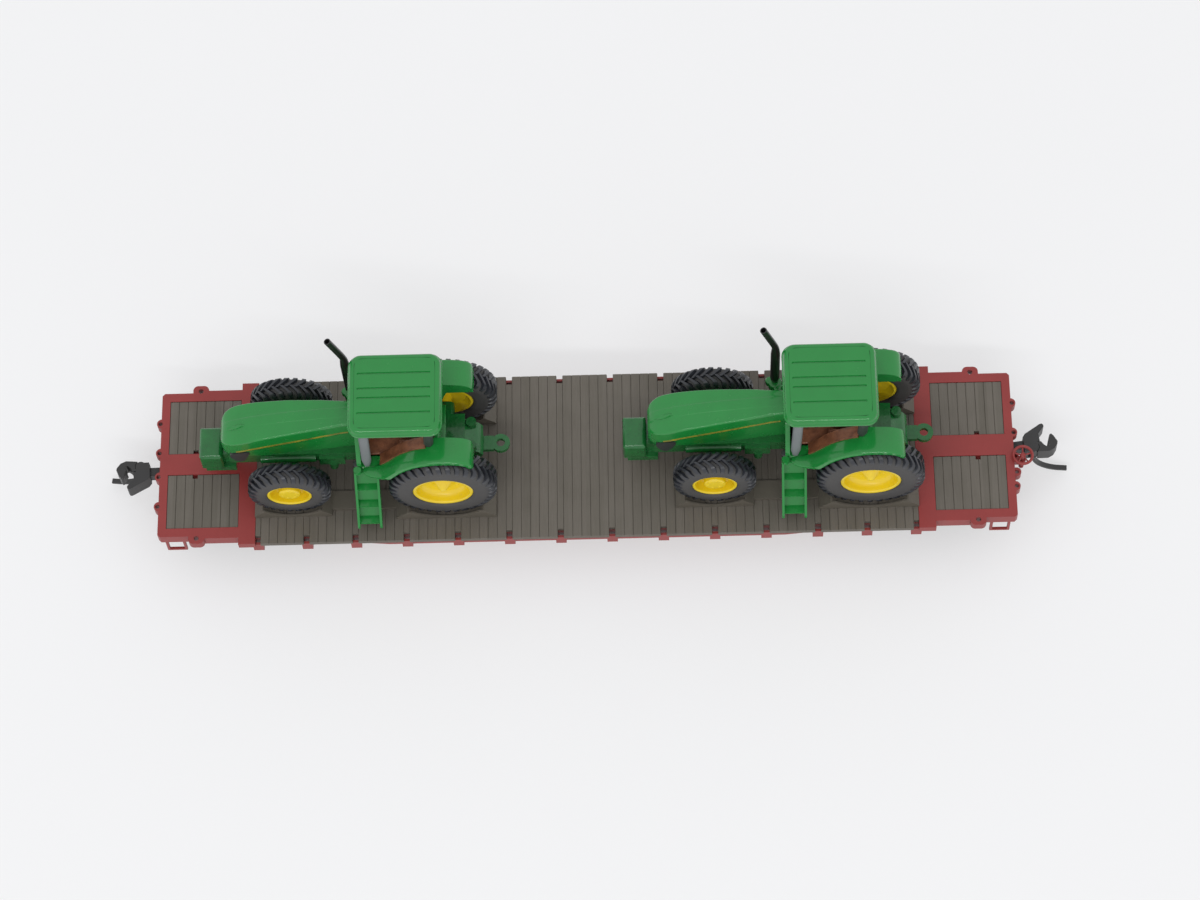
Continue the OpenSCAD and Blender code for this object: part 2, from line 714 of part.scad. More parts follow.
module draft_box_a() { draft_box(-1); }
module draft_box_b() { draft_box(1); }
module draft_lid_a() { draft_lid(-1); }
module draft_lid_b() { draft_lid(1); }
module draft_screw_a() { draft_screw(-1); }
module draft_screw_b() { draft_screw(1); }
module coupler_a_head() { coupler_head(-1, swing_a); }
module coupler_b_head() { coupler_head(1, swing_b); }
module coupler_a_knuckle() { coupler_knuckle(-1, swing_a); }
module coupler_b_knuckle() { coupler_knuckle(1, swing_b); }
module coupler_a_trip() { coupler_trip(-1, swing_a); }
module coupler_b_trip() { coupler_trip(1, swing_b); }
module coupler_a_spring() { coupler_spring(-1); }
module coupler_b_spring() { coupler_spring(1); }

// ---- tractors ------------------------------------------------------------

// Places its children on the deck, at the rear axle of a tractor
module on_deck(x) { translate([x, 0, deck_h]) children(); }

// Cradle for one wheel: chocks under the tread and a thin lip outside the tyre
module chock(r, foot, y_in, y_out) {
    lip = 0.24;
    z = r + tyre_gap;
    wedge = [[-foot, 0], [-foot, 0.45], [-foot + 1.3, chock_h], [foot - 1.3, chock_h],
        [foot, 0.45], [foot, 0]];
    wall_xz(y_in, y_out + tyre_gap) difference() {
        polygon(wedge);
        translate([0, z]) circle(r + tyre_gap, $fn = 96);
        translate([-1.2, -1]) square([2.4, 2]);
    }
    wall_xz(y_out + tyre_gap, y_out + tyre_gap + lip) difference() {
        polygon(wedge);
        translate([0, z]) circle(r - 0.25, $fn = 96);
    }
}

module load_cradle(x) {
    rear_foot = 5.9;
    front_foot = 4.6;
    rail_0 = front_x + front_foot;
    rail_1 = -rear_foot;
    color(wood) on_deck(x) both_sides() {
        chock(rear_r, rear_foot, rear_y - rear_w, rear_y);
        translate([front_x, 0, 0]) chock(front_r, front_foot, front_y - front_w, front_y);
        block([rail_0 - 0.3, front_y - front_w, 0], [rail_1 + 0.3, front_y - 0.4, 0.42]);
    }
}

// Hood: side profile crossed with the plan, so that it narrows to the cab and falls to the nose
module hood() {
    intersection() {
        wall_xz(-4, 4) polygon([[-25.9, 8.4], [-25.75, 9.9], [-24.9, 10.95], [-22.4, 12.05], [-18, 12.95],
            [-13.6, 13.65], [-11.5, 13.9], [-9.5, 14.1], [-9.5, sole_z], [-24.6, sole_z]]);
        translate([0, 0, 5]) linear_extrude(12) both_sides_2d()
            polygon([[-25.9, 0], [-25.9, 1.5], [-25.45, 2.15], [-24.6, 2.52], [-23.4, 2.62], [-21.5, 2.56],
                [-18, 2.35], [-13.6, 1.9], [cab_front - 0.1, 1.5], [cab_front - 0.1, 0]]);
    }
}

// Arc over a rear tyre between two planes, cut to a range of x and to what is above z0
module tyre_arc(y0, y1, x0, x1, z0 = sole_z) {
    wall_xz(y0, y1) intersection() {
        difference() {
            translate([0, rear_z]) circle(fender_r + fender_t, $fn = 96);
            translate([0, rear_z]) circle(fender_r, $fn = 96);
        }
        polygon([[0, rear_z], [5.4, rear_z + 6], [5.4, 16], [cab_front, 16],
            [cab_front, sole_z], [-fender_r, sole_z]]);
        translate([x0, z0]) square([x1 - x0, 16]);
    }
}

// Rear fender: over the outer half of the tyre beside the cab, over all of it behind
module fender() {
    tyre_arc(cab_y, fender_out, cab_front, 5);
    tyre_arc(fender_in, cab_y + eps, sill_x, 5);
    // inner walls: up to the cab's sill, and a short one behind the cab
    wall_xz(fender_in, fender_in + 0.4) intersection() {
        union() {
            translate([0, rear_z]) circle(fender_r, $fn = 96);
            intersection() {
                translate([0, rear_z]) circle(fender_r + eps, $fn = 96);
                translate([sill_x, sole_z]) square([5, 8]);
            }
        }
        polygon([[-7.4, sole_z], [-0.4, sole_z], [0.6, 11.2], [4.6, 11.2], [4.6, 14],
            [sill_x, 14], [sill_x, floor_z], [-7.4, floor_z]]);
    }
}

module tractor_body(x) {
    color(green) on_deck(x) {
        hood();
        both_sides() fender();
        // platform under the cab, with the cowl in front of it
        block([cab_front - 0.1, -cab_y, sole_z], [-rear_r - 0.25, cab_y, floor_z]);
        block([-9.5, -fender_in - 0.05, sole_z], [0.4, fender_in + 0.05, floor_z]);
        block([-9.9, -cab_y, floor_z - 0.2], [cab_front, cab_y, 9.5]);
        // rear wall of the cab below its window
        block([cab_rear - 0.3, -fender_in - 0.1, floor_z - 0.2], [cab_rear + 0.3, fender_in + 0.1, 12.8]);
        // lobed boss of the exhaust
        translate([exhaust_x + 0.1, exhaust_y - 0.35, floor_z - 1.3]) cylinder(r = 0.85, h = 1.5);
        block([-11.1, 2.8, floor_z - 1.2], [-10.3, 5, floor_z - 0.4]);
    }
}

module tractor_roof(x) {
    color(green) on_deck(x) difference() {
        union() {
            translate([0, 0, roof_z - roof_t]) linear_extrude(roof_t - 0.35)
                round_rect([-10.25, -5.2], [0.7, 5.2], 1.1);
            translate([0, 0, roof_z - roof_t]) linear_extrude(roof_t)
                round_rect([-9.95, -4.85], [0.4, 4.85], 0.9);
        }
        both_sides() for (y = [0.6, 2.5])
            block([-9.0, y - 0.13, roof_z - 0.15], [-0.75, y + 0.13, roof_z + 1]);
        block([-8.6, -4, roof_z - roof_t - 1], [-0.9, 4, roof_z - roof_t + 0.3]);
    }
}

// Cab frame: four wide pillars and the rails under the roof
module tractor_cab(x) {
    t = 0.55;
    top = roof_z - roof_t;
    post_x = [cab_rear - 1.5, cab_rear - 0.3];
    foot = [for (px = post_x) [px, rear_z + sqrt(pow(fender_r + fender_t, 2) - px * px) + 0.02]];
    color("#6f7376") on_deck(x) both_sides() {
        wall_xz(cab_y - t, cab_y) polygon([[cab_front, floor_z], [cab_front + 1.1, floor_z],
            [cab_front + 1.5, top], [cab_front + 0.3, top]]);
        wall_xz(cab_y - t, cab_y) polygon([foot[0], foot[1], [cab_rear, top], [cab_rear - 1.2, top]]);
        block([cab_front + 0.6, cab_y - t, top - 0.5], [cab_rear - 0.2, cab_y, top]);
        block([cab_front + 0.6, -eps, top - 0.5], [cab_front + 1.1, cab_y, top]);
        block([cab_rear - 0.7, -eps, top - 0.5], [cab_rear - 0.2, cab_y, top]);
    }
}

module tractor_interior(x) {
    color("#7a4630") on_deck(x) {
        block([-8.9, -fender_in + 0.1, floor_z], [cab_rear - 0.35, fender_in - 0.1, floor_z + 0.4]);
        // inner wheel arches, with a skirt down to the platform
        both_sides() {
            tyre_arc(fender_in - 0.1, cab_y - 0.02, -7.4, sill_x - 0.02, floor_z);
            wall_xz(fender_in - 0.3, fender_in) intersection() {
                translate([0, rear_z]) circle(fender_r + fender_t, $fn = 96);
                translate([-6.9, floor_z]) square([6.9 + sill_x - 0.02, 8]);
            }
        }
        // seat: cushion on a pedestal, and a back
        block([-4.4, -1.0, floor_z + 0.3], [-2.6, 1.0, floor_z + 2]);
        translate([0, 0, floor_z + 2]) linear_extrude(0.9) round_rect([-5.4, -1.6], [-2, 1.6], 0.5);
        translate([-2.6, 0, 0]) wall_yz(0, 0.8) round_rect([-1.5, floor_z + 2.5], [1.5, floor_z + 6], 0.5);
        // dash and steering column with its wheel
        block([-8.9, -1.2, floor_z + 0.3], [-7.7, 1.2, floor_z + 3.6]);
        translate([-7.9, 0, floor_z + 3.2]) rotate([0, 35, 0]) {
            cylinder(r = 0.28, h = 1.6);
            translate([0, 0, 1.5]) cylinder(r = 1.25, h = 0.3);
        }
        // consoles beside the seat
        both_sides() block([-4.9, 2.2, floor_z + 0.3], [-1.4, fender_in - 0.2, floor_z + 2.6]);
    }
}

// Engine, gearbox, axle housings, front weight, drawbar and hitch casting
module tractor_chassis(x) {
    color("#2c5e38") on_deck(x) difference() {
        union() {
            block([-24.6, -belly_y, 4.3], [-9, belly_y, sole_z]);
            block([nose_x, -engine_y, engine_z], [cab_front - 0.1, engine_y, sole_z]);
            block([-10, -2.4, 3.6], [2.6, 2.4, sole_z]);
            // engine side castings and filters
            both_sides() {
                block([-14.6, belly_y - eps, 5.1], [-11.6, engine_y + 0.4, 6.7]);
                translate([0, engine_y, 6.2]) bar_x(0.5, -21.5, -15);
                translate([-13, 2.5, 4.4]) cylinder(r = 0.55, h = 1);
            }
            translate([0, 0, rear_z]) bar_y(1.35, -rear_y + rear_w + 0.25, rear_y - rear_w - 0.25);
            translate([front_x, 0, front_z]) bar_y(1.0, -front_y + front_w + 0.25, front_y - front_w - 0.25);
            // front weight, rounded in all three views, on a plate that runs back under the nose
            intersection() {
                wall_yz(-28.9, -26.1) round_rect([-weight_y, weight_z[0]], [weight_y, weight_z[1]], 0.6);
                wall_xz(-weight_y, weight_y) round_rect([-28.9, weight_z[0]], [-26.1, weight_z[1]], 0.6);
                linear_extrude(weight_z[1] + 1) round_rect([-28.9, -weight_y], [-26.1, weight_y], 0.5);
            }
            block([-28.4, -weight_y + 0.15, weight_z[0] - 0.6],
                [nose_x + 0.4, weight_y - 0.15, weight_z[0] + 0.4]);
            block([-26.6, -1.3, weight_z[0] + 0.3], [-24.2, 1.3, engine_z + 0.2]);
            // drawbar with its ring, and the hitch casting above it
            block([2, -0.9, 3.6], [ring_x - 0.8, 0.9, 4.2]);
            translate([ring_x, 0, 3.6]) cylinder(r = 1.1, h = 0.6);
            wall_xz(-1.9, 1.9)
                polygon([[2, 4.1], [4.2, 4.1], [4.6, 4.9], [4.1, 5.8], [3.2, 6.4], [2, sole_z]]);
            both_sides() translate([3.3, 1.5, 5.6]) cylinder(r = 0.6, h = 1.5);
        }
        translate([ring_x, 0, 2]) cylinder(r = 0.5, h = 4);
        block([-2, -rear_y, sole_z], [2, rear_y, sole_z + 2]);
        translate([0, 0, rear_z]) bar_y(shaft_r + run_gap, -9, 9);
        translate([front_x, 0, front_z]) bar_y(shaft_r + run_gap, -9, 9);
    }
}

module tractor_exhaust(x) {
    color(black) on_deck(x) translate([exhaust_x, exhaust_y, 0]) {
        translate([0, 0, floor_z + 0.2]) cylinder(r = 0.4, h = 0.8);
        translate([0, 0, floor_z + 0.9]) cylinder(r = 0.58, h = 7.2);
        translate([0, 0, floor_z + 8]) cylinder(r = 0.45, h = 1.2);
        translate([0, 0, floor_z + 9.15]) sphere(r = 0.45);
        translate([0, 0, floor_z + 9.15]) rotate([0, -20, 0]) cylinder(r = 0.45, h = 4.7);
    }
}

// Cab steps: two cheeks that lean outwards and four treads, hung on the platform's edge
module tractor_steps(x) {
    y_top = cab_y;
    y_foot = 9.5;
    z_foot = 1.5;
    x0 = -10.35;
    x1 = -7.45;
    cheek = 0.28;
    lean = (y_foot - y_top - 0.3) / (floor_z - z_foot);
    color(green) on_deck(x) mirror([0, 1, 0]) {
        for (s = [x0, x1 - cheek]) wall_yz(s, s + cheek)
            polygon([[y_top, floor_z], [y_top + 0.5, floor_z], [y_foot, z_foot + 0.5], [y_foot, z_foot],
                [y_foot - 1.4, z_foot], [y_top, sole_z - 0.4]]);
        for (k = [0:3]) {
            z = floor_z - 0.3 - k * (floor_z - z_foot - 0.9) / 3;
            y = y_top + 0.3 + lean * (floor_z - z);
            block([x0 + cheek - eps, max(y_top, y - 1.35), z - 0.25], [x1 - cheek + eps, y, z]);
        }
        wall_yz(x0 + cheek - eps, x1 - cheek + eps) polygon([[y_top, floor_z - 0.6], [y_foot - 1, z_foot],
            [y_foot - 1.4, z_foot], [y_top, sole_z - 0.4]]);
        translate([x0 + 0.45, y_top + 0.45, floor_z - 0.2]) cylinder(r = 0.45, h = 0.6);
    }
}

// A pair of rims with their shaft; the dish is a step towards the hub
module rim_pair(r, w, y_out, hub) {
    color(yellow) both_sides() {
        translate([0, y_out - w, 0]) rotate([-90, 0, 0]) rotate_extrude() polygon([[0, -y_out + w],
            [shaft_r, -y_out + w], [shaft_r, 0.15], [r - 0.5, 0.3], [r, 0.4], [r, w - 0.25],
            [r - 0.35, w - 0.25], [r - 0.75, w - 1.1], [hub + 0.25, w - 1.25], [hub, w - 0.7],
            [hub * 0.5, w - 0.45], [0, w - 0.45]]);
    }
}

// A pair of plain round tyres on the rims
module tyre_pair(r, rim, w, y_out) {
    color(tyre_blue) both_sides() translate([0, y_out - w, 0]) rotate([-90, 0, 0]) rotate_extrude()
        polygon([[rim, 0.35], [rim + 0.4, 0.1], [r - 1.2, 0], [r - 0.35, 0.15], [r, 0.5],
            [r, w - 0.5], [r - 0.35, w - 0.15], [r - 1.2, w], [rim + 0.4, w - 0.1], [rim, w - 0.35]]);
}

module rear_wheels(x) { on_deck(x) translate([0, 0, rear_z]) rim_pair(rear_rim, rear_w, rear_y, 1.1); }
module rear_tyres(x) { on_deck(x) translate([0, 0, rear_z]) tyre_pair(rear_r, rear_rim, rear_w, rear_y); }
module front_wheels(x) {
    on_deck(x) translate([front_x, 0, front_z]) rim_pair(front_rim, front_w, front_y, 1.0);
}
module front_tyres(x) {
    on_deck(x) translate([front_x, 0, front_z]) tyre_pair(front_r, front_rim, front_w, front_y);
}

module load_1_cradle() { load_cradle(load_1_x); }
module load_1_body() { tractor_body(load_1_x); }
module load_1_roof() { tractor_roof(load_1_x); }
module load_1_cab() { tractor_cab(load_1_x); }
module load_1_interior() { tractor_interior(load_1_x); }
module load_1_chassis() { tractor_chassis(load_1_x); }
module load_1_exhaust() { tractor_exhaust(load_1_x); }
module load_1_steps() { tractor_steps(load_1_x); }
module load_1_front_wheels() { front_wheels(load_1_x); }
module load_1_front_tyres() { front_tyres(load_1_x); }
module load_1_rear_wheels() { rear_wheels(load_1_x); }
module load_1_rear_tyres() { rear_tyres(load_1_x); }
module load_2_cradle() { load_cradle(load_2_x); }
module load_2_body() { tractor_body(load_2_x); }
module load_2_roof() { tractor_roof(load_2_x); }
module load_2_cab() { tractor_cab(load_2_x); }
module load_2_interior() { tractor_interior(load_2_x); }
module load_2_chassis() { tractor_chassis(load_2_x); }
module load_2_exhaust() { tractor_exhaust(load_2_x); }
module load_2_steps() { tractor_steps(load_2_x); }
module load_2_front_wheels() { front_wheels(load_2_x); }
module load_2_front_tyres() { front_tyres(load_2_x); }
module load_2_rear_wheels() { rear_wheels(load_2_x); }
module load_2_rear_tyres() { rear_tyres(load_2_x); }

underframe();
main_deck();
end_panel_1();
end_panel_2();
end_panel_3();
end_panel_4();
ballast_plate();
draft_box_a();
draft_box_b();
draft_lid_a();
draft_lid_b();
draft_screw_a();
draft_screw_b();
sill_steps();
brake_wheel();
brake_staff();
brake_cylinder();
air_reservoir();
control_valve();
truck_a_frame();
truck_b_frame();
truck_a_pin();
truck_b_pin();
wheelset_1();
wheelset_2();
wheelset_3();
wheelset_4();
coupler_a_head();
coupler_b_head();
coupler_a_knuckle();
coupler_b_knuckle();
coupler_a_trip();
coupler_b_trip();
coupler_a_spring();
coupler_b_spring();
load_1_cradle();
load_1_body();
load_1_roof();
load_1_cab();
load_1_interior();
load_1_chassis();
load_1_exhaust();
load_1_steps();
load_1_front_wheels();
load_1_front_tyres();
load_1_rear_wheels();
load_1_rear_tyres();
load_2_cradle();
load_2_body();
load_2_roof();
load_2_cab();
load_2_interior();
load_2_chassis();
load_2_exhaust();
load_2_steps();
load_2_front_wheels();
load_2_front_tyres();
load_2_rear_wheels();
load_2_rear_tyres();
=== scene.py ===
"""Looks of the model flat car and its two tractors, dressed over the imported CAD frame."""
import json
import logging
import math
from dataclasses import dataclass, field
from enum import Enum
from typing import Optional, Sequence

import bmesh
import bpy
import numpy as np
from mathutils import Matrix, Vector

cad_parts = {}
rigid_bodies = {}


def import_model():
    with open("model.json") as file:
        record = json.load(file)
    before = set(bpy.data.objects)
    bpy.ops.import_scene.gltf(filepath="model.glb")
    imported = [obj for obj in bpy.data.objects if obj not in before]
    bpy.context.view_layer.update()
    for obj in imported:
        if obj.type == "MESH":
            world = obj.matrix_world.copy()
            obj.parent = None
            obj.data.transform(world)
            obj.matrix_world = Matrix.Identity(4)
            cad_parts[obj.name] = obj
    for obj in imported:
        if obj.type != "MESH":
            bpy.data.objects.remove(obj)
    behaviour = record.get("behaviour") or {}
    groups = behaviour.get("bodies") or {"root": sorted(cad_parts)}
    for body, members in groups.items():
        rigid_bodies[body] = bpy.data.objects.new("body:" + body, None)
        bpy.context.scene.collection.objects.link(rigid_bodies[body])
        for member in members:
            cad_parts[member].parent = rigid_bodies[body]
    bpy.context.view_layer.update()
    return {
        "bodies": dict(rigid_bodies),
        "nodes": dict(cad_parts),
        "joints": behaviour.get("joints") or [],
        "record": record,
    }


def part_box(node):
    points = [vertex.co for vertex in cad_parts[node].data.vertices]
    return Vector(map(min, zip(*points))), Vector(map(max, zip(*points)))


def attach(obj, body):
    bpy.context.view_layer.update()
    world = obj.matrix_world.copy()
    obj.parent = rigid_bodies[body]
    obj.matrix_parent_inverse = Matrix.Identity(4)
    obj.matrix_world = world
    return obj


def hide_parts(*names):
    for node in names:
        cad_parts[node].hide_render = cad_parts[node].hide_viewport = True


log = logging.getLogger("flat_car")

MM = 0.001  # one millimetre in the scene's metres
JOIN_MM = 0.0004  # points of a new surface closer than this are one
CAD_JOIN_MM = 0.002  # the same for a copy of a CAD node
TURN = 2 * math.pi
SIDES = (1, -1)  # +Y and -Y


# ---- Colour and material nodes ----

def linear(colour: str) -> tuple[float, float, float, float]:
    """Turns an sRGB hex colour into the linear colour that the shader takes.

    Args:
        colour: six hex digits after a hash.

    Returns:
        Red, green and blue as linear values, with an alpha of one.
    """
    parts = [int(colour[i:i + 2], 16) / 255 for i in (1, 3, 5)]
    out = [p / 12.92 if p <= 0.04045 else ((p + 0.055) / 1.055) ** 2.4 for p in parts]
    return (out[0], out[1], out[2], 1.0)


def add_node(tree: bpy.types.NodeTree, kind: str, inputs: Optional[dict] = None,
             **settings) -> bpy.types.Node:
    """Adds one node, sets its properties, and fills or links its inputs.

    Args:
        tree: the node tree that gets the node.
        kind: the node's type name, without the ShaderNode in front.
        inputs: input name or number to a value, or to the output socket that feeds it.
        settings: properties of the node itself.

    Returns:
        The new node.
    """
    node = tree.nodes.new("ShaderNode" + kind)
    for name, value in settings.items():
        setattr(node, name, value)
    for key, value in (inputs or {}).items():
        if isinstance(value, bpy.types.NodeSocket):
            tree.links.new(value, node.inputs[key])
        else:
            node.inputs[key].default_value = value
    return node


def linked(name: str, data: bpy.types.ID) -> bpy.types.Object:
    """Makes an object of some data and puts it in the scene."""
    made = bpy.data.objects.new(name, data)
    bpy.context.scene.collection.objects.link(made)
    return made


@dataclass(frozen=True)
class Finish:
    """A moulded or painted surface: one colour with slight mottling and a fine grain.

    Scales are in millimetres on the model, so that a pattern has its real size.
    """
    name: str
    colour: str
    dark: str
    roughness: float = 0.45
    coat: float = 0.0
    metallic: float = 0.0
    ior: float = 1.5
    grain_mm: float = 0.12
    bump: float = 0.1
    mottle_mm: float = 4.0
    mottle: float = 0.5
    glow: float = 0.0

    def surface(self, tree: bpy.types.NodeTree, place: bpy.types.NodeSocket) -> dict:
        """Works out the colour, roughness and relief of the surface.

        Args:
            tree: the material's node tree.
            place: the socket with the point on the object, in metres.

        Returns:
            Shader inputs by name.
        """
        broad = add_node(tree, "TexNoise", {"Vector": place, "Scale": 1 / (self.mottle_mm * MM),
                                            "Detail": 4.0, "Roughness": 0.6})
        share = add_node(tree, "MapRange", {"Value": broad.outputs["Fac"], "From Min": 0.3, "From Max": 0.7,
                                            "To Min": 0.5 - self.mottle / 2, "To Max": 0.5 + self.mottle / 2})
        fine = add_node(tree, "TexNoise", {"Vector": place, "Scale": 1 / (self.grain_mm * MM), "Detail": 2.0})
        return self.shaded(tree, share, fine, (-0.06, 0.08), self.grain_mm * 0.25)

    def shaded(self, tree: bpy.types.NodeTree, share: bpy.types.Node, texture: bpy.types.Node,
               rough_by: tuple[float, float], depth_mm: float) -> dict:
        """Mixes the two colours, and lets a texture change the roughness and raise a relief.

        Args:
            tree: the material's node tree.
            share: the node that gives the share of the dark colour.
            texture: the noise that the roughness and the relief follow.
            rough_by: how far the roughness goes below and above its middle.
            depth_mm: depth of the relief.

        Returns:
            Shader inputs by name.
        """
        tint = add_node(tree, "Mix", {"Factor": share.outputs[0], "A": linear(self.colour),
                                      "B": linear(self.dark)}, data_type="RGBA")
        rough = add_node(tree, "MapRange", {"Value": texture.outputs["Fac"],
                                            "To Min": self.roughness + rough_by[0],
                                            "To Max": self.roughness + rough_by[1]})
        relief = add_node(tree, "Bump", {"Height": texture.outputs["Fac"], "Strength": self.bump,
                                         "Distance": depth_mm * MM})
        return {"Base Color": tint.outputs["Result"], "Roughness": rough.outputs[0],
                "Normal": relief.outputs["Normal"]}

    def material(self) -> bpy.types.Material:
        """Builds the material once and returns it, or returns the one that is there."""
        if self.name in bpy.data.materials:
            return bpy.data.materials[self.name]
        made = bpy.data.materials.new(self.name)
        made.use_nodes = True
        tree = made.node_tree
        tree.nodes.clear()
        links = self.surface(tree, add_node(tree, "TexCoord").outputs["Object"])
        values = {"Metallic": self.metallic, "IOR": self.ior, "Coat Weight": self.coat,
                  "Coat Roughness": 0.05}
        if self.glow:
            values |= {"Emission Color": (1.0, 1.0, 1.0, 1.0), "Emission Strength": self.glow}
        shader = add_node(tree, "BsdfPrincipled", links | values)
        add_node(tree, "OutputMaterial", {"Surface": shader.outputs["BSDF"]})
        return made


@dataclass(frozen=True)
class Planks(Finish):
    """Moulded planks that run across the car: streaks along Y and a shade for each plank."""
    plank_mm: float = 1.07
    streak_mm: float = 0.16
    stretch: float = 22.0

    def surface(self, tree: bpy.types.NodeTree, place: bpy.types.NodeSocket) -> dict:
        """Adds long streaks and a change of shade from plank to plank.

        Args:
            tree: the material's node tree.
            place: the socket with the point on the object, in metres.

        Returns:
            Shader inputs by name.
        """
        fine = 1 / (self.streak_mm * MM)
        drawn = add_node(tree, "Mapping", {"Vector": place, "Scale": (fine, fine / self.stretch, fine)})
        streak = add_node(tree, "TexNoise", {"Vector": drawn.outputs[0], "Scale": 1.0, "Detail": 5.0,
                                             "Roughness": 0.65})
        stepped = add_node(tree, "Mapping", {"Vector": place, "Scale": (1 / (self.plank_mm * MM), 0.0, 0.0)})
        whole = add_node(tree, "VectorMath", {0: stepped.outputs[0]}, operation="FLOOR")
        shade = add_node(tree, "TexWhiteNoise", {"Vector": whole.outputs[0]}, noise_dimensions="3D")
        broad = add_node(tree, "TexNoise", {"Vector": place, "Scale": 1 / (self.mottle_mm * MM),
                                            "Detail": 4.0})
        plank_part = add_node(tree, "Math", {0: shade.outputs["Value"], 1: 0.3}, operation="MULTIPLY")
        streak_part = add_node(tree, "Math", {0: streak.outputs["Fac"], 1: 0.8, 2: plank_part.outputs[0]},
                               operation="MULTIPLY_ADD")
        total = add_node(tree, "Math", {0: broad.outputs["Fac"], 1: 0.5, 2: streak_part.outputs[0]},
                         operation="MULTIPLY_ADD")
        share = add_node(tree, "MapRange", {"Value": total.outputs[0], "From Min": 0.45, "From Max": 1.15})
        return self.shaded(tree, share, streak, (-0.05, 0.1), 0.03)


class Look(Enum):
    """Every finish on the model, named for the real stuff and how its surface was made, and one darker copy
    of the green enamel that carries painted shade.
    """
    # Coloured polystyrene from a polished mould: an even satin sheen, soft at the edges.
    FRAME_RED = Finish("moulded oxide red styrene", "#8f3634", "#812e2c", roughness=0.4, bump=0.12,
                       ior=1.42)
    # Styrene moulded with a plank texture and left matt: almost no highlight.
    DECK = Planks("moulded plank styrene", "#68625a", "#58534a", roughness=0.62, bump=0.3, ior=1.42)
    # The same stuff without planks, for the wheel cradles.
    CRADLE = Finish("moulded brown-grey styrene", "#5f594f", "#524d44", roughness=0.5, bump=0.15)
    # Black acetal and nylon: waxy, with a broad dim highlight.
    TRUCK = Finish("moulded black acetal", "#242221", "#1c1b1a", roughness=0.5, bump=0.2)
    WHEEL = Finish("moulded brown acetal", "#382f2a", "#2c2622", roughness=0.45, bump=0.1)
    COUPLER = Finish("moulded black acetal, matt", "#2c2b2b", "#222222", roughness=0.42, bump=0.15)
    # Enamel on die-cast zinc: thick, glossy, and slightly wavy like orange peel.
    GREEN = Finish("glossy green enamel on zinc", "#1b8036", "#187631", roughness=0.24, coat=0.5, ior=1.35,
                   grain_mm=0.9, bump=0.06, mottle_mm=3.0)
    # The same green enamel made darker for the chassis. The darker colour is painted shade for where the
    # chassis sits recessed under the hood, and the rough zinc accounts only for its stronger relief.
    GREEN_PAINTED_SHADE = Finish("glossy green enamel on rough zinc", "#186c2f", "#124f24", roughness=0.28,
                        coat=0.5, ior=1.35, grain_mm=0.45, bump=0.45, mottle_mm=1.2)
    YELLOW = Finish("glossy yellow styrene", "#e6ca1a", "#dcbd16", roughness=0.3, coat=0.3,
                    grain_mm=0.3, bump=0.05, mottle_mm=2.0)
    # Filled vinyl with a dull bloom: no clear highlight on the walls, a faint sheen on the lugs.
    TYRE_WALL = Finish("grey-black vinyl wall", "#434241", "#3b3a3a", roughness=0.62, grain_mm=0.1, bump=0.2)
    TYRE_LUG = Finish("grey-black vinyl lug", "#2f3137", "#24262b", roughness=0.34, grain_mm=0.1, bump=0.25)
    COPPER = Finish("copper-brown paint", "#9a6345", "#5f3825", roughness=0.38, metallic=0.1,
                    grain_mm=0.25, bump=0.5, mottle_mm=0.9, mottle=0.9)
    PILLAR = Finish("satin grey paint", "#75797c", "#63676a", roughness=0.4, grain_mm=0.2, bump=0.1)
    DARK = Finish("dark grey paint", "#2f3332", "#262a29", roughness=0.4, grain_mm=0.2, bump=0.15)
    STRIPE = Finish("olive yellow print", "#a89a2c", "#4d5a26", roughness=0.35, coat=0.5, mottle_mm=1.2,
                    mottle=0.9)
    EXHAUST = Finish("semi-gloss black enamel", "#171616", "#111111", roughness=0.35, coat=0.2)
    STEEL = Finish("rolled steel", "#8d8f92", "#7c7e81", roughness=0.35, metallic=1.0)
    BRONZE = Finish("drawn bronze strip", "#b08d57", "#9c7b48", roughness=0.3, metallic=1.0)


# ---- Surfaces ----

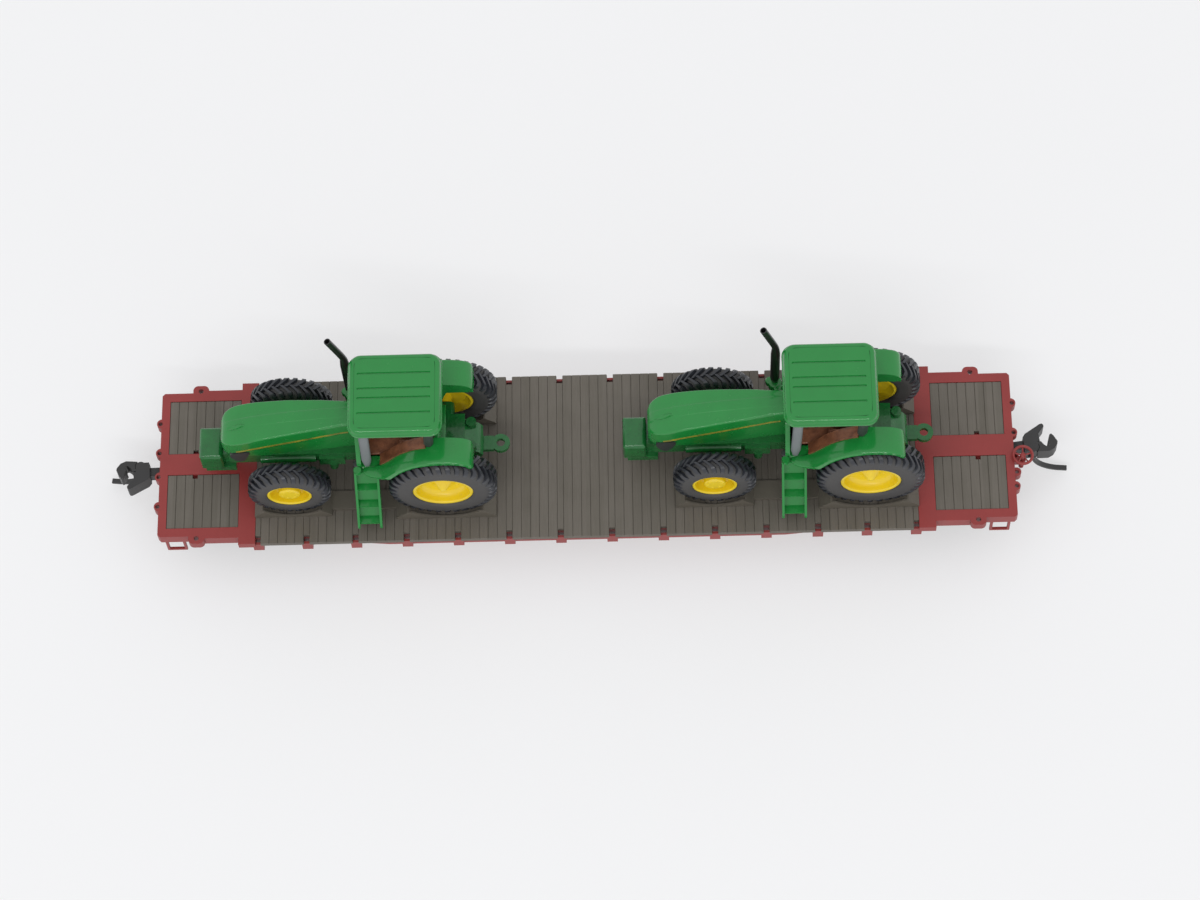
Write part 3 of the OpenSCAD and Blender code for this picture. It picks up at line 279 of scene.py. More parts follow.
@dataclass
class Shape:
    """Collects surfaces, in millimetres from an offset, and makes one mesh object of them."""
    name: str
    offset: np.ndarray = field(default_factory=lambda: np.zeros(3))
    points: list[np.ndarray] = field(default_factory=list)
    faces: list[np.ndarray] = field(default_factory=list)
    looks: list[Look] = field(default_factory=list)
    face_looks: list[np.ndarray] = field(default_factory=list)
    total: int = 0

    def take(self, points: np.ndarray, quads: np.ndarray, look: Look) -> None:
        """Keeps points and quads, with the number of the material slot that holds their look.

        Args:
            points: array that ends in xyz, moved by the shape's offset.
            quads: array that ends in four numbers of those points.
            look: the finish of the quads.
        """
        if look not in self.looks:
            self.looks.append(look)
        points, quads = points.reshape(-1, 3), quads.reshape(-1, 4)
        self.points.append(points + self.offset)
        self.faces.append(quads + self.total)
        self.face_looks.append(np.full(len(quads), self.looks.index(look)))
        self.total += len(points)

    def grid(self, points: np.ndarray, look: Look, close_u: bool = False, close_v: bool = False) -> None:
        """Adds a grid of quads, joined to its own start along a closed direction.

        Args:
            points: array of rows, columns and xyz.
            look: the finish of the surface.
            close_u: whether the last row joins the first.
            close_v: whether the last column joins the first.
        """
        rows, cols = points.shape[:2]
        i = np.arange(rows if close_u else rows - 1)[:, None]
        j = np.arange(cols if close_v else cols - 1)[None, :]
        i2, j2 = (i + 1) % rows, (j + 1) % cols
        quads = np.stack([i * cols + j, i * cols + j2, i2 * cols + j2, i2 * cols + j], -1)
        self.take(points, quads, look)

    def closed(self, points: np.ndarray, look: Look) -> None:
        """Adds a tube and closes both its ends with a row that is the middle of the end's ring."""
        first, last = (np.broadcast_to(end.mean(axis=1, keepdims=True), end.shape)
                       for end in (points[:1], points[-1:]))
        self.grid(np.concatenate([first, points, last]), look, False, True)

    def pair(self, points: np.ndarray, look: Look) -> None:
        """Adds a closed tube, and its mirror image on the other side of the middle length plane."""
        for side in SIDES:
            self.closed(points * [1.0, side, 1.0], look)

    def boxes(self, boxes: Sequence[tuple], look: Look) -> None:
        """Adds boxes with round edges, each given as lowest corner, highest corner and radius."""
        for low, high, radius in boxes:
            self.closed(box_surface(low, high, radius), look)

    def solids(self, points: np.ndarray, look: Look) -> None:
        """Adds many closed tubes at once: each is rows of rings, with both ends capped by a quad ring.

        Args:
            points: array of solids, rows, columns and xyz, with an even count of columns.
            look: the finish of the solids.
        """
        count, rows, cols = points.shape[:3]
        i = np.arange(rows - 1)[:, None]
        j = np.arange(cols)[None, :]
        j2 = (j + 1) % cols
        body = np.stack([i * cols + j, i * cols + j2, (i + 1) * cols + j2, (i + 1) * cols + j], -1)
        half = np.arange(cols // 2 - 1)
        start = np.stack([half + 1, half, cols - 1 - half, cols - 2 - half], -1)
        end = np.stack([half, half + 1, cols - 2 - half, cols - 1 - half], -1) + (rows - 1) * cols
        one = np.concatenate([body.reshape(-1, 4), start, end])
        offsets = np.arange(count)[:, None, None] * rows * cols
        self.take(points, one[None] + offsets, look)

    def build(self, sharp_deg: float = 35.0) -> bpy.types.Object:
        """Makes the mesh object, in metres, welded, with its faces outwards.

        Args:
            sharp_deg: edges that turn more than this stay sharp.

        Returns:
            The object, at the origin, with its place in its mesh.
        """
        mesh = bpy.data.meshes.new(self.name)
        points = np.concatenate(self.points) * MM
        quads = np.concatenate(self.faces)
        mesh.from_pydata(points.tolist(), [], quads.tolist())
        mesh.polygons.foreach_set("material_index", np.concatenate(self.face_looks).astype(np.int32))
        for look in self.looks:
            mesh.materials.append(look.value.material())
        weld(mesh, JOIN_MM * MM)
        obj = linked(self.name, mesh)
        finish_mesh(obj, sharp_deg)
        return obj


def weld(mesh: bpy.types.Mesh, distance: float, flat_deg: float = 0.0) -> None:
    """Merges doubled points, drops faces without area, and turns faces outwards.

    Args:
        mesh: the mesh to mend in place.
        distance: points closer than this become one, in metres.
        flat_deg: faces that turn less than this are dissolved into one, or zero for none.
    """
    work = bmesh.new()
    work.from_mesh(mesh)
    bmesh.ops.remove_doubles(work, verts=work.verts, dist=distance)
    bmesh.ops.dissolve_degenerate(work, dist=distance, edges=work.edges)
    if flat_deg:
        bmesh.ops.dissolve_limit(work, angle_limit=math.radians(flat_deg), verts=work.verts, edges=work.edges)
    bmesh.ops.recalc_face_normals(work, faces=work.faces)
    work.to_mesh(mesh)
    work.free()


def finish_mesh(obj: bpy.types.Object, sharp_deg: float, bevel_mm: float = 0.0, segments: int = 2) -> None:
    """Shades a mesh smooth between its sharp edges and bevels them.

    Args:
        obj: the object to finish.
        sharp_deg: edges that turn more than this stay sharp and take the bevel.
        bevel_mm: width of the bevel, or zero for none.
        segments: segments of the bevel.
    """
    mesh = obj.data
    mesh.shade_smooth()
    mesh.set_sharp_from_angle(angle=math.radians(sharp_deg))
    if bevel_mm:
        bevel = obj.modifiers.new("edge", "BEVEL")
        bevel.width = bevel_mm * MM
        bevel.segments = segments
        bevel.limit_method = "ANGLE"
        bevel.angle_limit = math.radians(sharp_deg)
        bevel.use_clamp_overlap = True
        bevel.harden_normals = True


def revolve(profile: np.ndarray, centre: Sequence[float], steps: int, axis: str = "y") -> np.ndarray:
    """Turns a profile about an axis: a point (radius, along) goes round a full circle.

    Args:
        profile: rows of radius and distance along the axis, in millimetres.
        centre: a point on the axis.
        steps: how many places round the circle.
        axis: which axis the profile turns about, "y" or "z".

    Returns:
        A grid of steps by profile points.
    """
    turn = np.linspace(0, TURN, steps, endpoint=False)[:, None]
    radius, along = profile[None, :, 0], profile[None, :, 1]
    a, b, c = np.broadcast_arrays(radius * np.cos(turn), radius * np.sin(turn), along)
    return np.stack({"y": (a, c, b), "z": (a, b, c)}[axis], -1) + np.asarray(centre, float)


def rounded(points: Sequence[Sequence[float]], rounds: int = 2, closed: bool = False) -> np.ndarray:
    """Cuts the corners of a polyline: each pass keeps the quarter points of every side.

    Args:
        points: the corner points, in two or three dimensions.
        rounds: how many passes.
        closed: whether the last point joins the first.

    Returns:
        The smoother polyline.
    """
    line = np.asarray(points, float)
    for _ in range(rounds):
        after = np.roll(line, -1, axis=0) if closed else line[1:]
        before = line if closed else line[:-1]
        cut = np.stack([0.75 * before + 0.25 * after, 0.25 * before + 0.75 * after], 1)
        cut = cut.reshape(-1, line.shape[1])
        line = cut if closed else np.concatenate([line[:1], cut, line[-1:]])
    return line


def box_surface(low: Sequence[float], high: Sequence[float], radius: float, arc: int = 4) -> np.ndarray:
    """A box with round edges: a sphere's grid whose eighths are pushed out to the corners.

    Args:
        low: lowest corner in millimetres.
        high: highest corner.
        radius: radius of the edges.
        arc: steps in each quarter turn.

    Returns:
        A grid, closed along its columns, whose first and last rows are the flat ends' outlines,
        which stay open.
    """
    low, high = np.asarray(low, float), np.asarray(high, float)
    half, centre = (high - low) / 2, (high + low) / 2
    radius = min(radius, float(half.min()))
    quarter = np.linspace(0, math.pi / 2, arc + 1)
    around = np.concatenate([quarter + k * math.pi / 2 for k in range(4)])
    middle = np.repeat(np.arange(4) * math.pi / 2 + math.pi / 4, arc + 1)
    rise = np.concatenate([quarter - math.pi / 2, quarter])
    side_z = np.repeat([-1.0, 1.0], arc + 1)
    reach = half - radius
    x = np.sign(np.cos(middle))[None] * reach[0] + radius * np.cos(rise)[:, None] * np.cos(around)[None]
    y = np.sign(np.sin(middle))[None] * reach[1] + radius * np.cos(rise)[:, None] * np.sin(around)[None]
    z = np.broadcast_to((side_z * reach[2] + radius * np.sin(rise))[:, None], x.shape)
    return np.stack([x, y, z], -1) + centre


def tube(path: np.ndarray, section: np.ndarray, up: Sequence[float] = (0, 0, 1)) -> np.ndarray:
    """Carries a flat closed section along a path, square to the path's direction.

    Args:
        path: points of the middle line, in millimetres.
        section: closed outline, rows of sideways and upward offset, or one outline for each point.
        up: the direction that the section's upward offset leans to.

    Returns:
        A grid of path points by section points.
    """
    path = np.asarray(path, float)
    along = np.gradient(path, axis=0)
    along /= np.linalg.norm(along, axis=1, keepdims=True)
    side = np.cross(along, np.asarray(up, float))
    side /= np.linalg.norm(side, axis=1, keepdims=True)
    rise = np.cross(side, along)
    section = np.broadcast_to(section, (len(path),) + section.shape[-2:])
    return path[:, None] + side[:, None] * section[..., :1] + rise[:, None] * section[..., 1:]


def round_section(radius: float, sides: int = 12) -> np.ndarray:
    """A circle as a closed outline of sideways and upward offsets."""
    turn = np.linspace(0, TURN, sides, endpoint=False)
    return np.stack([radius * np.cos(turn), radius * np.sin(turn)], -1)


def facing(profile: np.ndarray, side: int, outer: float) -> np.ndarray:
    """Turns depths below an outer face into distances along the axle, on one side."""
    return np.stack([profile[:, 0], side * (outer - profile[:, 1])], -1)


def ribbon(x: np.ndarray, edges: Sequence[tuple]) -> np.ndarray:
    """Joins lines over the same x into one tube, each line given by its y and its z."""
    return np.stack([np.stack(np.broadcast_arrays(x, y, z), -1) for y, z in edges], 1)


def prism(outline: np.ndarray, low: float, high: float, axis: str = "y") -> np.ndarray:
    """Pushes a closed outline along an axis.

    Args:
        outline: rows of the two coordinates across the axis, in x, y, z order.
        low: where the prism starts along the axis.
        high: where it ends.
        axis: the axis that the outline is pushed along.

    Returns:
        A grid of two rows, one ring at each end.
    """
    a, b, c = np.broadcast_arrays(outline[None, :, 0], outline[None, :, 1], [[low], [high]])
    return np.stack({"x": (c, a, b), "y": (a, c, b), "z": (a, b, c)}[axis], -1)


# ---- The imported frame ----

@dataclass
class Rig:
    """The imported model: its nodes, the body that each belongs to, and their boxes."""
    frame: dict
    body_of: dict[str, str] = field(default_factory=dict)
    slot_of: dict[str, str] = field(default_factory=dict)

    def __post_init__(self) -> None:
        """Reads the body and the material slot of every node from the record."""
        record = self.frame["record"]
        for body, nodes in record["behaviour"]["bodies"].items():
            self.body_of.update({node: body for node in nodes})
        self.slot_of.update({part["node"]: part["material_slot"] for part in record["subparts"]})

    def box_mm(self, node: str) -> tuple[np.ndarray, np.ndarray]:
        """Returns the lowest and highest corner of a node at rest, in millimetres."""
        low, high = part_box(node)
        return np.array(low) / MM, np.array(high) / MM

    def stand_for(self, piece: bpy.types.Object, node: str) -> bpy.types.Object:
        """Lets a piece ride with a node's body and be shown in the node's place.

        Args:
            piece: the new object.
            node: the CAD node that it stands for.

        Returns:
            The same object.
        """
        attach(piece, self.body_of[node])
        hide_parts(node)
        log.info("%s stands for %s", piece.name, node)
        return piece

    def refined(self, node: str, look: Look, bevel_mm: float = 0.05, segments: int = 2,
                sharp_deg: float = 32.0) -> bpy.types.Object:
        """Shows a node as a welded copy with soft edges.

        Args:
            node: the CAD node.
            look: the finish of the copy.
            bevel_mm: width of the bevel on its edges.
            segments: segments of the bevel.
            sharp_deg: edges that turn more than this are bevelled.

        Returns:
            The copy.
        """
        mesh = self.frame["nodes"][node].data.copy()
        mesh.name = node + ".finished"
        mesh.materials.clear()
        mesh.materials.append(look.value.material())
        mesh.polygons.foreach_set("material_index", np.zeros(len(mesh.polygons), np.int32))
        weld(mesh, CAD_JOIN_MM * MM, 1.0)
        if "custom_normal" in mesh.attributes:
            mesh.attributes.remove(mesh.attributes["custom_normal"])
        piece = linked(node + ".finished", mesh)
        finish_mesh(piece, sharp_deg, bevel_mm, segments)
        return self.stand_for(piece, node)


# ---- Car body ----

@dataclass
class CarBody:
    """Underframe, planks, end panels and the gear below the floor."""
    rig: Rig
    edge: float = 0.06
    plank_edge: float = 0.03

    def build(self) -> None:
        """Dresses every node of the car's body."""
        dress = self.rig.refined
        dress("underframe", Look.FRAME_RED, self.edge)
        for node in ("main_deck", "end_panel_1", "end_panel_2", "end_panel_3", "end_panel_4"):
            dress(node, Look.DECK, self.plank_edge)
        dress("ballast_plate", Look.STEEL, self.edge)
        for end in "ab":
            dress(f"draft_box_{end}", Look.FRAME_RED, self.edge)
            dress(f"draft_lid_{end}", Look.FRAME_RED, self.edge)
            dress(f"draft_screw_{end}", Look.STEEL, 0.03)
        for node in ("sill_steps", "brake_cylinder", "air_reservoir", "control_valve"):
            dress(node, Look.FRAME_RED, self.edge)


@dataclass
class Handbrake:
    """Horizontal brake wheel on its staff: a round rim, dished spokes and a hub."""
    rig: Rig
    rim_r: float = 0.17
    spokes: int = 5

    def build(self) -> None:
        """Makes the wheel and dresses the staff."""
        low, high = self.rig.box_mm("brake_wheel")
        mid = (high[0] - low[0]) / 2 - self.rim_r
        middle = np.array([(low[0] + high[0]) / 2, (low[1] + high[1]) / 2, high[2] - self.rim_r])
        shape = Shape("brake_wheel.finished", middle)
        rim = round_section(self.rim_r, 24) + [mid, 0.0]
        shape.grid(revolve(rim, (0, 0, 0), 64, "z"), Look.FRAME_RED, True, True)
        hub = np.array([[0, 0.2], [0.2, 0.2], [0.32, 0.1], [0.36, -0.2], [0.3, -0.3], [0, -0.3]])
        shape.grid(revolve(hub, (0, 0, 0), 32, "z"), Look.FRAME_RED, True)
        reach = np.linspace(0.2, mid, 8)
        drop = -0.12 * np.sin(np.linspace(0, math.pi, 8))
        for angle in np.arange(self.spokes) * TURN / self.spokes + 0.3:
            line = np.stack([reach * math.cos(angle), reach * math.sin(angle), drop], -1)
            shape.closed(tube(line, round_section(0.1, 10)), Look.FRAME_RED)
        self.rig.stand_for(shape.build(), "brake_wheel")
        self.rig.refined("brake_staff", Look.FRAME_RED, 0.03)


# ---- Running gear and couplers ----

@dataclass
class RunningGear:
    """Truck frames, their pins, the wheels and the couplers."""
    rig: Rig

    def build(self) -> None:
        """Dresses the trucks, the wheelsets and the couplers."""
        dress = self.rig.refined
        for end in "ab":
            dress(f"truck_{end}_frame", Look.TRUCK, 0.06)
            dress(f"truck_{end}_pin", Look.TRUCK, 0.06)
            dress(f"coupler_{end}_head", Look.COUPLER, 0.07, 3)
            dress(f"coupler_{end}_knuckle", Look.COUPLER, 0.07, 3)
            dress(f"coupler_{end}_trip", Look.COUPLER, 0.05)
            dress(f"coupler_{end}_spring", Look.BRONZE, 0.02)
        for k in range(1, 5):
            dress(f"wheelset_{k}", Look.WHEEL, 0.03)


# ---- Tractors ----

@dataclass
class Tractor:
    """One tractor on the deck. Local x is counted from its rear axle, z from the deck."""
    rig: Rig
    number: int
    lug_h: float = 0.42
    flank_h: float = 2.35
    hood_foot: float = 7.3
    floor: float = 8.2

    def __post_init__(self) -> None:
        """Reads the rear axle's place and the deck's height from the frame."""
        centre, _, _ = self.axle("rear_tyres")
        self.origin = np.array([centre[0], 0.0, self.rig.box_mm("main_deck")[1][2]])

    def node(self, part: str) -> str:
        """Returns the CAD node's name for one part of this tractor."""
        return f"load_{self.number}_{part}"

    def axle(self, part: str) -> tuple[np.ndarray, float, float]:
        """Returns the middle of a pair of wheels, their radius and the distance of their outer faces."""
        low, high = self.rig.box_mm(self.node(part))
        middle = np.array([(low[0] + high[0]) / 2, 0.0, (low[2] + high[2]) / 2])
        return middle, (high[2] - low[2]) / 2, high[1]

    def local_box(self, part: str) -> tuple[np.ndarray, np.ndarray]:
        """Returns the lowest and highest corner of one part, in the tractor's own coordinates."""
        low, high = self.rig.box_mm(self.node(part))
        return low - self.origin, high - self.origin

    def start(self, part: str) -> Shape:
        """Starts the shape of one part, in the tractor's own coordinates."""
        return Shape(self.node(part) + ".finished", self.origin)

    def finish(self, shape: Shape, part: str, sharp_deg: float) -> None:
        """Builds a shape and shows it in the place of one part."""
        self.rig.stand_for(shape.build(sharp_deg), self.node(part))

    def build(self) -> None:
        """Makes or dresses every part of the tractor and its cradle."""
        self.tyres("rear_tyres", 3.55, 34, 4.25)
        self.tyres("front_tyres", 2.65, 27, 4.1)
        self.rear_rims()
        self.front_rims()
        self.bodywork()
        self.roof()
        self.cab()
        self.interior()
        self.exhaust()
        self.rig.refined(self.node("steps"), Look.GREEN, 0.09, 3)
        # the chassis takes the darker copy of the green, which is painted shade
        self.rig.refined(self.node("chassis"), Look.GREEN_PAINTED_SHADE, 0.2, 3)
        self.rig.refined(self.node("cradle"), Look.CRADLE, 0.06)

    def tyres(self, part: str, rim: float, lugs: int, inner_face: float) -> None:
        """Makes a pair of lugged tyres.

        The carcass is a profile turned about the axle. Each lug is a bar that starts on the
        shoulder and runs aslant to just past the middle, its mirror image standing half a
        pitch further on.

        Args:
            part: the CAD node's part name.
            rim: radius where the tyre meets its rim.
            lugs: how many lugs stand on each half of the tread.
            inner_face: distance of the tyre's inner face from the middle.
        """
        centre, radius, outer = self.axle(part)
        width = outer - inner_face
        base = radius - self.lug_h
        wall = rounded([[rim, 0.2], [rim + 0.08, 0.1], [rim + 0.16, 0.1], [rim + 0.24, 0.02],
                        [base - 1.1, 0.0], [base - 0.7, 0.08], [base - 0.35, 0.24], [base - 0.08, 0.5],
                        [base, 0.9]])
        back = np.array([0.0, width]) + wall[::-1] * [1.0, -1.0]
        inside = [[rim - 0.05, width - 0.5], [rim - 0.05, 0.5]]
        profile = np.concatenate([wall, back, inside])
        shape = Shape(self.node(part) + ".finished")
        for side in SIDES:
            carcass = revolve(facing(profile, side, outer), centre, 120)
            shape.grid(carcass, Look.TYRE_WALL, True, True)
            shape.solids(self.lug_bars(radius, width, lugs, outer, side) + centre, Look.TYRE_LUG)
        self.finish(shape, part, 40)

    def lug_bars(self, radius: float, width: float, lugs: int, outer: float, side: int) -> np.ndarray:
        """Places the lugs of one tyre about its axle, as many small swept bars.

        Args:
            radius: radius over the lugs.
            width: width of the tyre.
            lugs: lugs on each half of the tread.
            outer: distance of the outer face from the middle.
            side: 1 for the tyre on +Y, -1 for the other.

        Returns:
            Array of bars, rows, four columns and xyz.
        """
        pitch = TURN / lugs
        steps = np.linspace(0, 1, 9)
        base = radius - self.lug_h
        keys = [0, 0.14, 0.3, 0.42, 1]
        top_r = np.interp(steps, keys, [base - 0.62, base - 0.12, radius - 0.2, radius - 0.03, radius])
        top_y = np.interp(steps, keys, [0.1, 0.12, 0.3, 0.55, width / 2 + 0.1])
        low_r = np.interp(steps, keys, [base - 0.7, base - 0.4, base - 0.2, base - 0.1, base - 0.06])
        low_y = np.interp(steps, keys, [0.22, 0.3, 0.6, 0.8, width / 2 + 0.1])
        lean = np.interp(steps, [0, 0.4, 1], [0.0, 0.2, 1.15]) * pitch
        thick = np.interp(steps, [0, 0.3, 0.6, 1], [0.27, 0.29, 0.24, 0.2]) * pitch
        taper = np.array([-0.78, 0.78, 1.12, -1.12])
        r = np.stack([top_r, top_r, low_r, low_r], -1)[None]
        across = np.stack([top_y, top_y, low_y, low_y], -1)[None]
        bars = []
        for y, shift in ((across, 0.0), (width - across, 0.5)):
            start = (np.arange(lugs) + shift) * pitch
            angle = start[:, None, None] - (lean[:, None] + thick[:, None] * taper)[None]
            bars.append(np.stack(np.broadcast_arrays(r * np.sin(angle), side * (outer - y),
                                                     r * np.cos(angle)), -1))
        return np.concatenate(bars)

    def rims(self, part: str, profile: np.ndarray, bolts: int, bolt_r: float, bolt_depth: float) -> None:
        """Makes a pair of rims: a profile turned about the axle, with bolt heads on the dish.

        Args:
            part: the CAD node's part name.
            profile: rows of radius and depth below the outer face.
            bolts: how many bolt heads.
            bolt_r: radius of their circle.
            bolt_depth: their depth below the outer face.
        """
        centre, _, outer = self.axle(part)
        shape = Shape(self.node(part) + ".finished")
        head = np.array([[0, -0.08], [0.13, -0.08], [0.17, -0.03], [0.17, 0.22], [0, 0.22]])
        for side in SIDES:
            shape.grid(revolve(facing(profile, side, outer), centre, 96), Look.YELLOW, True)
            for angle in np.arange(bolts) * TURN / bolts + 0.2:
                at = centre + bolt_r * np.array([math.cos(angle), 0.0, math.sin(angle)])
                shape.grid(revolve(facing(head, side, outer - bolt_depth), at, 12), Look.YELLOW, True)
        self.finish(shape, part, 30)

    def rear_rims(self) -> None:
        """Makes the rear rims: a rolled lip, a deep dish and a cone at the hub."""
        w = 2.95
        lip = rounded([[3.02, 0.5], [3.08, 0.06], [3.2, 0.0], [3.48, 0.0], [3.56, 0.1], [3.56, 0.6]])
        dish = rounded([[0.0, 0.12], [0.22, 0.14], [0.5, 0.4], [1.25, 1.25], [1.5, 1.4], [2.3, 1.35],
                        [2.75, 1.2], [2.95, 0.9]], 1)
        back = [[3.56, w - 0.6], [3.5, w - 0.25], [3.2, w - 0.2], [3.0, w - 0.6], [2.6, w - 0.9],
                [1.4, w - 0.9], [0.98, w - 0.8], [0.98, w + 0.2], [0.72, w + 0.2], [0.72, w + 1.2],
                [0.0, w + 1.2]]
        self.rims("rear_wheels", np.concatenate([dish, lip, back]), 8, 1.9, 1.4)

    def front_rims(self) -> None:
        """Makes the front rims: a deep dish round a broad round hub."""
        w = 2.5
        lip = rounded([[2.24, 0.45], [2.28, 0.06], [2.38, 0.0], [2.58, 0.0], [2.66, 0.1], [2.66, 0.5]])
        dish = rounded([[0.0, 0.1], [1.05, 0.1], [1.24, 0.16], [1.3, 0.3], [1.34, 1.4], [1.5, 1.55],
                        [1.95, 1.5], [2.18, 1.0]], 1)
        back = [[2.66, w - 0.5], [2.6, w - 0.2], [2.3, w - 0.2], [2.1, w - 0.5], [1.3, w - 0.6],
                [0.72, w - 0.5], [0.72, w + 1.2], [0.0, w + 1.2]]
        self.rims("front_wheels", np.concatenate([dish, lip, back]), 6, 0.85, 0.12)

    def bodywork(self) -> None:
        """Makes hood, fenders, platform and the exhaust's boss as one painted casting."""
        shape = self.start("body")
        self.add_hood(shape)
        self.add_fenders(shape)
        self.add_platform(shape)
        self.finish(shape, "body", 38)

    def add_hood(self, shape: Shape) -> None:
        """Adds the hood: sections across the engine, carried from the cab to the nose.

        Each section is a closed outline of corner points whose corners are cut round: foot,
        flank, shoulder crease and the raised middle panel, then the same on the other side.

        Args:
            shape: the casting that the hood is part of.
        """
        # station x, crease half-width, crease height, rise of the middle
        stations = np.array([
            [-9.4, 1.38, 13.80, 0.10], [-11.5, 1.52, 13.70, 0.12], [-13.6, 1.80, 13.45, 0.14],
            [-18.0, 2.24, 12.75, 0.16], [-21.5, 2.44, 11.95, 0.15], [-23.4, 2.50, 11.30, 0.13],
            [-24.5, 2.40, 10.85, 0.10], [-25.2, 2.12, 10.45, 0.07], [-25.6, 1.78, 10.1, 0.03],
            [-25.8, 1.45, 9.75, 0.0]])
        keys = np.arange(len(stations))
        fine = np.linspace(0, len(stations) - 1, 55)
        x, crease, top, rise = (np.interp(fine, keys, stations[:, k]) for k in range(4))
        x, crease = (np.convolve(np.pad(v, 2, mode="edge"), np.full(5, 0.2), "valid") for v in (x, crease))
        foot = self.hood_foot
        rows = []
        for c, t, u in zip(crease, top, rise):
            low = max(t - self.flank_h, foot + 0.4)
            right = [[0.0, foot], [-c + 0.1, foot], [-c + 0.08, foot + 0.2], [-c + 0.1, low - 0.16],
                     [-c - 0.06, low - 0.02], [-c - 0.1, low + 0.12], [-c - 0.09, t - 0.3],
                     [-c - 0.05, t - 0.1], [-c + 0.03, t - 0.01], [-c + 0.16, t + 0.03],
                     [-0.66, t + u * 0.5], [-0.58, t + u], [0.0, t + u + 0.02]]
            left = [[-p[0], p[1]] for p in right[-2:0:-1]]
            rows.append(rounded(right + left, closed=True))
        rows = np.array(rows)
        grid = np.concatenate([np.broadcast_to(x[:, None, None], rows.shape[:2] + (1,)), rows], -1)
        # the flat of the nose: the last section again, drawn in towards its middle
        middle = np.array([-25.9, 0.0, 8.7])
        inner = middle + (grid[-1] - middle) * [1.0, 0.84, 0.86]
        inner[:, 0] = middle[0] + 0.01
        shape.closed(np.concatenate([grid, inner[None]]), Look.GREEN)
        self.add_hood_trim(shape, x, crease, top)

    def add_hood_trim(self, shape: Shape, x: np.ndarray, crease: np.ndarray, top: np.ndarray) -> None:
        """Adds the stripes below the flanks, the lamp patches, the grille bars and the nose blister.

        Args:
            shape: the casting that the trim lies on.
            x: stations of the hood.
            crease: half-width of the shoulder at each station.
            top: height of the shoulder at each station.
        """
        keep = (x > -24.3) & (x < -10.2)
        out, low = crease[keep] + 0.12, top[keep] - self.flank_h
        # lamp below the flank's end: wide at the top, drawn in below
        lamp = rounded([[-25.0, 8.35], [-22.6, 8.75], [-22.7, 8.0], [-23.3, 6.6], [-23.8, 6.2],
                        [-24.4, 6.5], [-24.9, 7.4]], closed=True)
        for side in SIDES:
            edges = [(side * (out - dy), low + dz)
                     for dy, dz in ((0.0, 0.1), (0.0, 0.42), (0.12, 0.42), (0.12, 0.1))]
            shape.closed(ribbon(x[keep], edges), Look.STRIPE)
            shape.closed(prism(lamp, side * 2.0, side * 2.58), Look.DARK)
        shape.boxes([((-25.97, -1.2, z), (-25.7, 1.2, z + 0.2), 0.08) for z in 7.75 + 0.36 * np.arange(5)],
                    Look.DARK)
        blister = rounded([[-25.1, -0.42], [-24.6, -0.66], [-23.4, -0.62], [-22.7, -0.3], [-23.5, -0.12],
                           [-24.8, -0.16]], closed=True)
        height = np.interp(blister[:, 0], x[::-1], (top + 0.1)[::-1])
        level = np.array([-0.2, 0.05, 0.14])
        inset = np.array([1.0, 1.0, 0.7])
        centre = blister.mean(axis=0)
        flat = centre + (blister - centre)[None] * inset[:, None, None]
        rise = height[None] + level[:, None]
        shape.closed(np.concatenate([flat, rise[..., None]], -1), Look.GREEN)

    def add_fenders(self, shape: Shape) -> None:
        """Adds the rear fenders: a rolled section carried over the tyre and down to the steps."""
        line = self.fender_line()
        share = np.linspace(0, 1, len(line))
        outer = np.interp(share, [0, 0.1, 0.75, 1], [6.4, 6.65, 6.65, 5.2])
        inner = np.interp(line[:, 0], [-1.55, -1.2], [4.58, 3.35])
        drop = np.interp(share, [0, 0.12, 0.8, 1], [0.35, 0.6, 0.6, 0.3])
        # the section: distance outwards as a share of the width, rise above the line, fall of the lip
        section_y = np.array([0.0, 0.3, 0.9, 0.97, 1.0, 1.0, 0.96, 0.9, 0.5, 0.0])
        level = np.array([-0.08, 0.0, 0.0, -0.05, -0.16, 0, 0, -0.45, -0.45, -0.45])
        falls = np.array([0, 0, 0, 0, 0, -1.0, -1.0, 0, 0, 0])
        off = level[None] + falls[None] * drop[:, None]
        grid = self.carried(line, inner[:, None] + (outer - inner)[:, None] * section_y[None], off)
        # inner walls: up to the sill beside the cab, and a short one behind it
        keep = (line[:, 0] < 3.4) & (line[:, 1] > 8.6)
        x, crest = line[keep, 0], line[keep, 1] - 0.25
        foot = np.minimum(crest - 0.05, np.interp(x, [-7.5, -0.4, 0.6, 3.4], [7.7, 7.7, 11.3, 11.3]))
        shape.pair(grid, Look.GREEN)
        shape.pair(ribbon(x, [(3.32, crest), (3.7, crest), (3.7, foot), (3.32, foot)]), Look.GREEN)

    @staticmethod
    def fender_line() -> np.ndarray:
        """Returns the fender's top line in x and z, from its tail over the tyre to the steps."""
        return rounded([[3.9, 11.3], [3.7, 12.6], [2.2, 13.4], [-0.5, 13.55], [-3.0, 12.95], [-5.0, 11.5],
                        [-6.3, 9.7], [-7.4, 8.6], [-9.2, 8.2]], 3)

    @staticmethod
    def carried(line: np.ndarray, y: np.ndarray, off: np.ndarray) -> np.ndarray:
        """Carries a section along a line in x and z.

        Args:
            line: points of the line.
            y: the section's places across the tractor, one row for all points or one for each.
            off: its rises square to the line, upwards at the line's middle.

        Returns:
            A grid of line points by section points.
        """
        along = np.gradient(line, axis=0)
        along /= np.linalg.norm(along, axis=1, keepdims=True)
        normal = np.stack([along[:, 1], -along[:, 0]], -1)
        normal *= np.sign(normal[len(line) // 2, 1])
        return np.stack(np.broadcast_arrays(line[:, :1] + normal[:, :1] * off, y,
                                            line[:, 1:] + normal[:, 1:] * off), -1)

